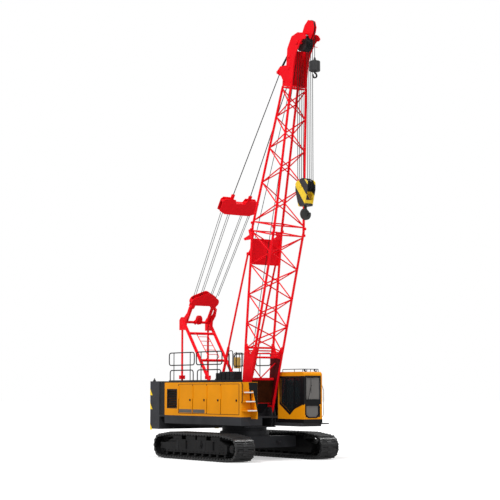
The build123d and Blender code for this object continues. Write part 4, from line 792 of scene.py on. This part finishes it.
class CRANE_OT_tracks(Operator):
    """Adds shoe blocks, roller caps, guards and bolts to the undercarriage"""

    bl_idname = "crane.tracks"
    bl_label = "Tracks"

    def execute(self, context):
        for side, name in ((-1, "track_right"), (1, "track_left")):
            spots = [(vert.co.x, vert.co.z) for vert in nodes[name].data.vertices]
            hull = [Vector(spots[number]) for number in convex_hull_2d(spots)]
            self.shoes(name, side, hull)
            self.frame_trim(name, side)
        return {"FINISHED"}

    def shoes(self, name, side, hull):
        """Blocks at both ends and in the middle of every shoe, just under the loop's outline."""
        total = sum((hull[number] - hull[number - 1]).length for number in range(len(hull)))
        mesh = bmesh.new()
        walked, edge = 0.0, 0
        centre = Vector((0.0, 0.48))
        for shoe in range(SHOE_COUNT):
            target = total * (shoe + 0.5) / SHOE_COUNT
            while walked + (hull[edge] - hull[edge - 1]).length < target:
                walked += (hull[edge] - hull[edge - 1]).length
                edge += 1
            run = (hull[edge] - hull[edge - 1]).normalized()
            spot = hull[edge - 1] + run * (target - walked)
            out = Vector((run.y, -run.x))
            if out.dot(spot - centre) < 0:
                out = -out
            turn = Matrix.Rotation(-math.atan2(run.y, run.x), 4, "Y")
            for y, wide, deep in ((-0.352, 0.03, 0.05), (0.0, 0.09, 0.075), (0.352, 0.03, 0.05)):
                at = spot - out * (0.012 + deep)
                middle, half = Vector((at.x, side * TRACK_SIDE + y, at.y)), Vector((0.05, wide, deep))
                add_box(mesh, middle - half, middle + half, 0.008, turn)
        finish_piece(f"shoe_ends_{name}", mesh, finish("track steel"), "undercarriage")

    def frame_trim(self, name, side):
        middle = side * TRACK_SIDE
        face = middle + side * FRAME_HALF_WIDTH
        axis = (0, side, 0)
        mesh = bmesh.new()
        for low, high in ((-1.5, -0.95), (-0.65, -0.05), (0.05, 0.65), (0.95, 1.5)):
            add_box(mesh, (low, middle - 0.26, 0.69), (high, middle + 0.26, 0.84), 0.01)
        for x in (-1.18, 0.56):
            add_box(mesh, (x - 0.09, face - 0.006, 0.33), (x + 0.09, face + 0.006, 0.66), 0.01)
        finish_piece(f"track_guards_{name}", mesh, finish("rail paint"), "undercarriage")
        mesh = bmesh.new()
        for number in range(9):
            x = -1.88 + 0.47 * number
            add_bar(mesh, (x, middle + side * 0.15, 0.19), (x, middle + side * 0.31, 0.19), 0.06, 16, 0.05)
            add_bolt(mesh, (x + 0.12, face, 0.30), axis)
            add_bolt(mesh, (x - 0.12, face, 0.30), axis)
        for number in range(12):
            angle = number * math.pi / 6
            add_bolt(mesh, (2.53 + 0.15 * math.cos(angle), face, 0.41 + 0.15 * math.sin(angle)), axis)
        finish_piece(f"track_bolts_{name}", mesh, finish("chassis paint"), "undercarriage")


class CRANE_OT_stage(Operator):
    """Lays a white floor, lights the crane softly and sets the camera"""

    bl_idname = "crane.stage"
    bl_label = "Stage"

    def execute(self, context):
        scene = context.scene
        scene.view_settings.view_transform = "Standard"
        self.floor()
        self.world(scene)
        for name, strength, angle, direction in (
            ("key light", 2.5, 20.0, (-0.3, 0.85, -1.0)),
            ("front light", 0.7, 40.0, (-1.0, 0.1, -0.5)),
            ("back light", 1.2, 12.0, (0.0, -0.57, -0.82)),
        ):
            lamp = bpy.data.lights.new(name, "SUN")
            lamp.energy = strength
            lamp.angle = math.radians(angle)
            holder = bpy.data.objects.new(name, lamp)
            holder.rotation_euler = Vector(direction).to_track_quat("-Z", "Y").to_euler()
            scene.collection.objects.link(holder)
        lens = bpy.data.cameras.new("photo camera")
        lens.lens = 101.17
        lens.clip_end = 400.0
        camera = bpy.data.objects.new("photo camera", lens)
        camera.location = (41.832, -28.830, 2.484)
        camera.rotation_euler = Vector((-0.81717, 0.56794, 0.09833)).to_track_quat("-Z", "Y").to_euler()
        scene.collection.objects.link(camera)
        scene.camera = camera
        return {"FINISHED"}

    def floor(self):
        mesh = bmesh.new()
        bmesh.ops.create_circle(mesh, cap_ends=True, segments=96, radius=220.0)
        data = bpy.data.meshes.new("floor")
        mesh.to_mesh(data)
        mesh.free()
        floor = bpy.data.objects.new("floor", data)
        bpy.context.scene.collection.objects.link(floor)
        material = bpy.data.materials.new("white floor")
        material.use_nodes = True
        tree = material.node_tree
        tree.nodes.remove(tree.nodes["Principled BSDF"])
        cover = place_node(tree, "ShaderNodeBsdfDiffuse", -400, 100, Color=(0.62, 0.62, 0.62, 1.0))
        glow = place_node(tree, "ShaderNodeEmission", -400, -100, Strength=0.45)
        path = place_node(tree, "ShaderNodeLightPath", -800, 0)
        seen = place_node(tree, "ShaderNodeMath", -600, -100)
        seen.operation = "MULTIPLY"
        seen.inputs[1].default_value = 0.45
        tree.links.new(path.outputs["Is Camera Ray"], seen.inputs[0])
        tree.links.new(seen.outputs["Value"], glow.inputs["Strength"])
        both = place_node(tree, "ShaderNodeAddShader", -200, 0)
        tree.links.new(cover.outputs["BSDF"], both.inputs[0])
        tree.links.new(glow.outputs["Emission"], both.inputs[1])
        tree.links.new(both.outputs["Shader"], tree.nodes["Material Output"].inputs["Surface"])
        data.materials.append(material)

    def world(self, scene):
        world = bpy.data.worlds.new("studio")
        scene.world = world
        world.use_nodes = True
        tree = world.node_tree
        ambient = tree.nodes["Background"]
        ambient.inputs["Color"].default_value = (1.0, 1.0, 1.0, 1.0)
        ambient.inputs["Strength"].default_value = 0.36
        backdrop = place_node(tree, "ShaderNodeBackground", -200, -160, Strength=1.0)
        backdrop.inputs["Color"].default_value = (1.0, 1.0, 1.0, 1.0)
        path = place_node(tree, "ShaderNodeLightPath", -800, 200)
        direct = place_node(tree, "ShaderNodeMath", -600, 200)
        direct.operation = "MAXIMUM"
        tree.links.new(path.outputs["Is Camera Ray"], direct.inputs[0])
        tree.links.new(path.outputs["Is Glossy Ray"], direct.inputs[1])
        through = place_node(tree, "ShaderNodeMath", -400, 200)
        through.operation = "MAXIMUM"
        tree.links.new(direct.outputs["Value"], through.inputs[0])
        tree.links.new(path.outputs["Is Transmission Ray"], through.inputs[1])
        choice = place_node(tree, "ShaderNodeMixShader", 100, 0)
        tree.links.new(through.outputs["Value"], choice.inputs["Fac"])
        tree.links.new(ambient.outputs["Background"], choice.inputs[1])
        tree.links.new(backdrop.outputs["Background"], choice.inputs[2])
        tree.links.new(choice.outputs["Shader"], tree.nodes["World Output"].inputs["Surface"])


class CRANE_PT_dressing(Panel):
    """Lists the crane's settings and the steps that dress it"""

    bl_idname = "CRANE_PT_dressing"
    bl_label = "Crane"
    bl_space_type = "VIEW_3D"
    bl_region_type = "UI"
    bl_category = "Crane"

    def draw(self, context):
        layout = self.layout
        for group in settings():
            for name in group.__annotations__:
                layout.prop(group, name)
        for step in STEPS:
            layout.operator(step.bl_idname)


STEPS = (
    CRANE_OT_finishes, CRANE_OT_house_trim, CRANE_OT_cab_trim, CRANE_OT_seat, CRANE_OT_rigging,
    CRANE_OT_tracks, CRANE_OT_stage,
)
CLASSES = (CranePaint, CraneSizes, *STEPS, CRANE_PT_dressing)


def register():
    for item in CLASSES:
        bpy.utils.register_class(item)
    bpy.types.Scene.crane_paint = PointerProperty(type=CranePaint)
    bpy.types.Scene.crane_sizes = PointerProperty(type=CraneSizes)


def unregister():
    del bpy.types.Scene.crane_sizes
    del bpy.types.Scene.crane_paint
    for item in reversed(CLASSES):
        bpy.utils.unregister_class(item)


def main():
    register()
    for step in STEPS:
        group, name = step.bl_idname.split(".")
        getattr(getattr(bpy.ops, group), name)()


if __name__ == "__main__":
    main()
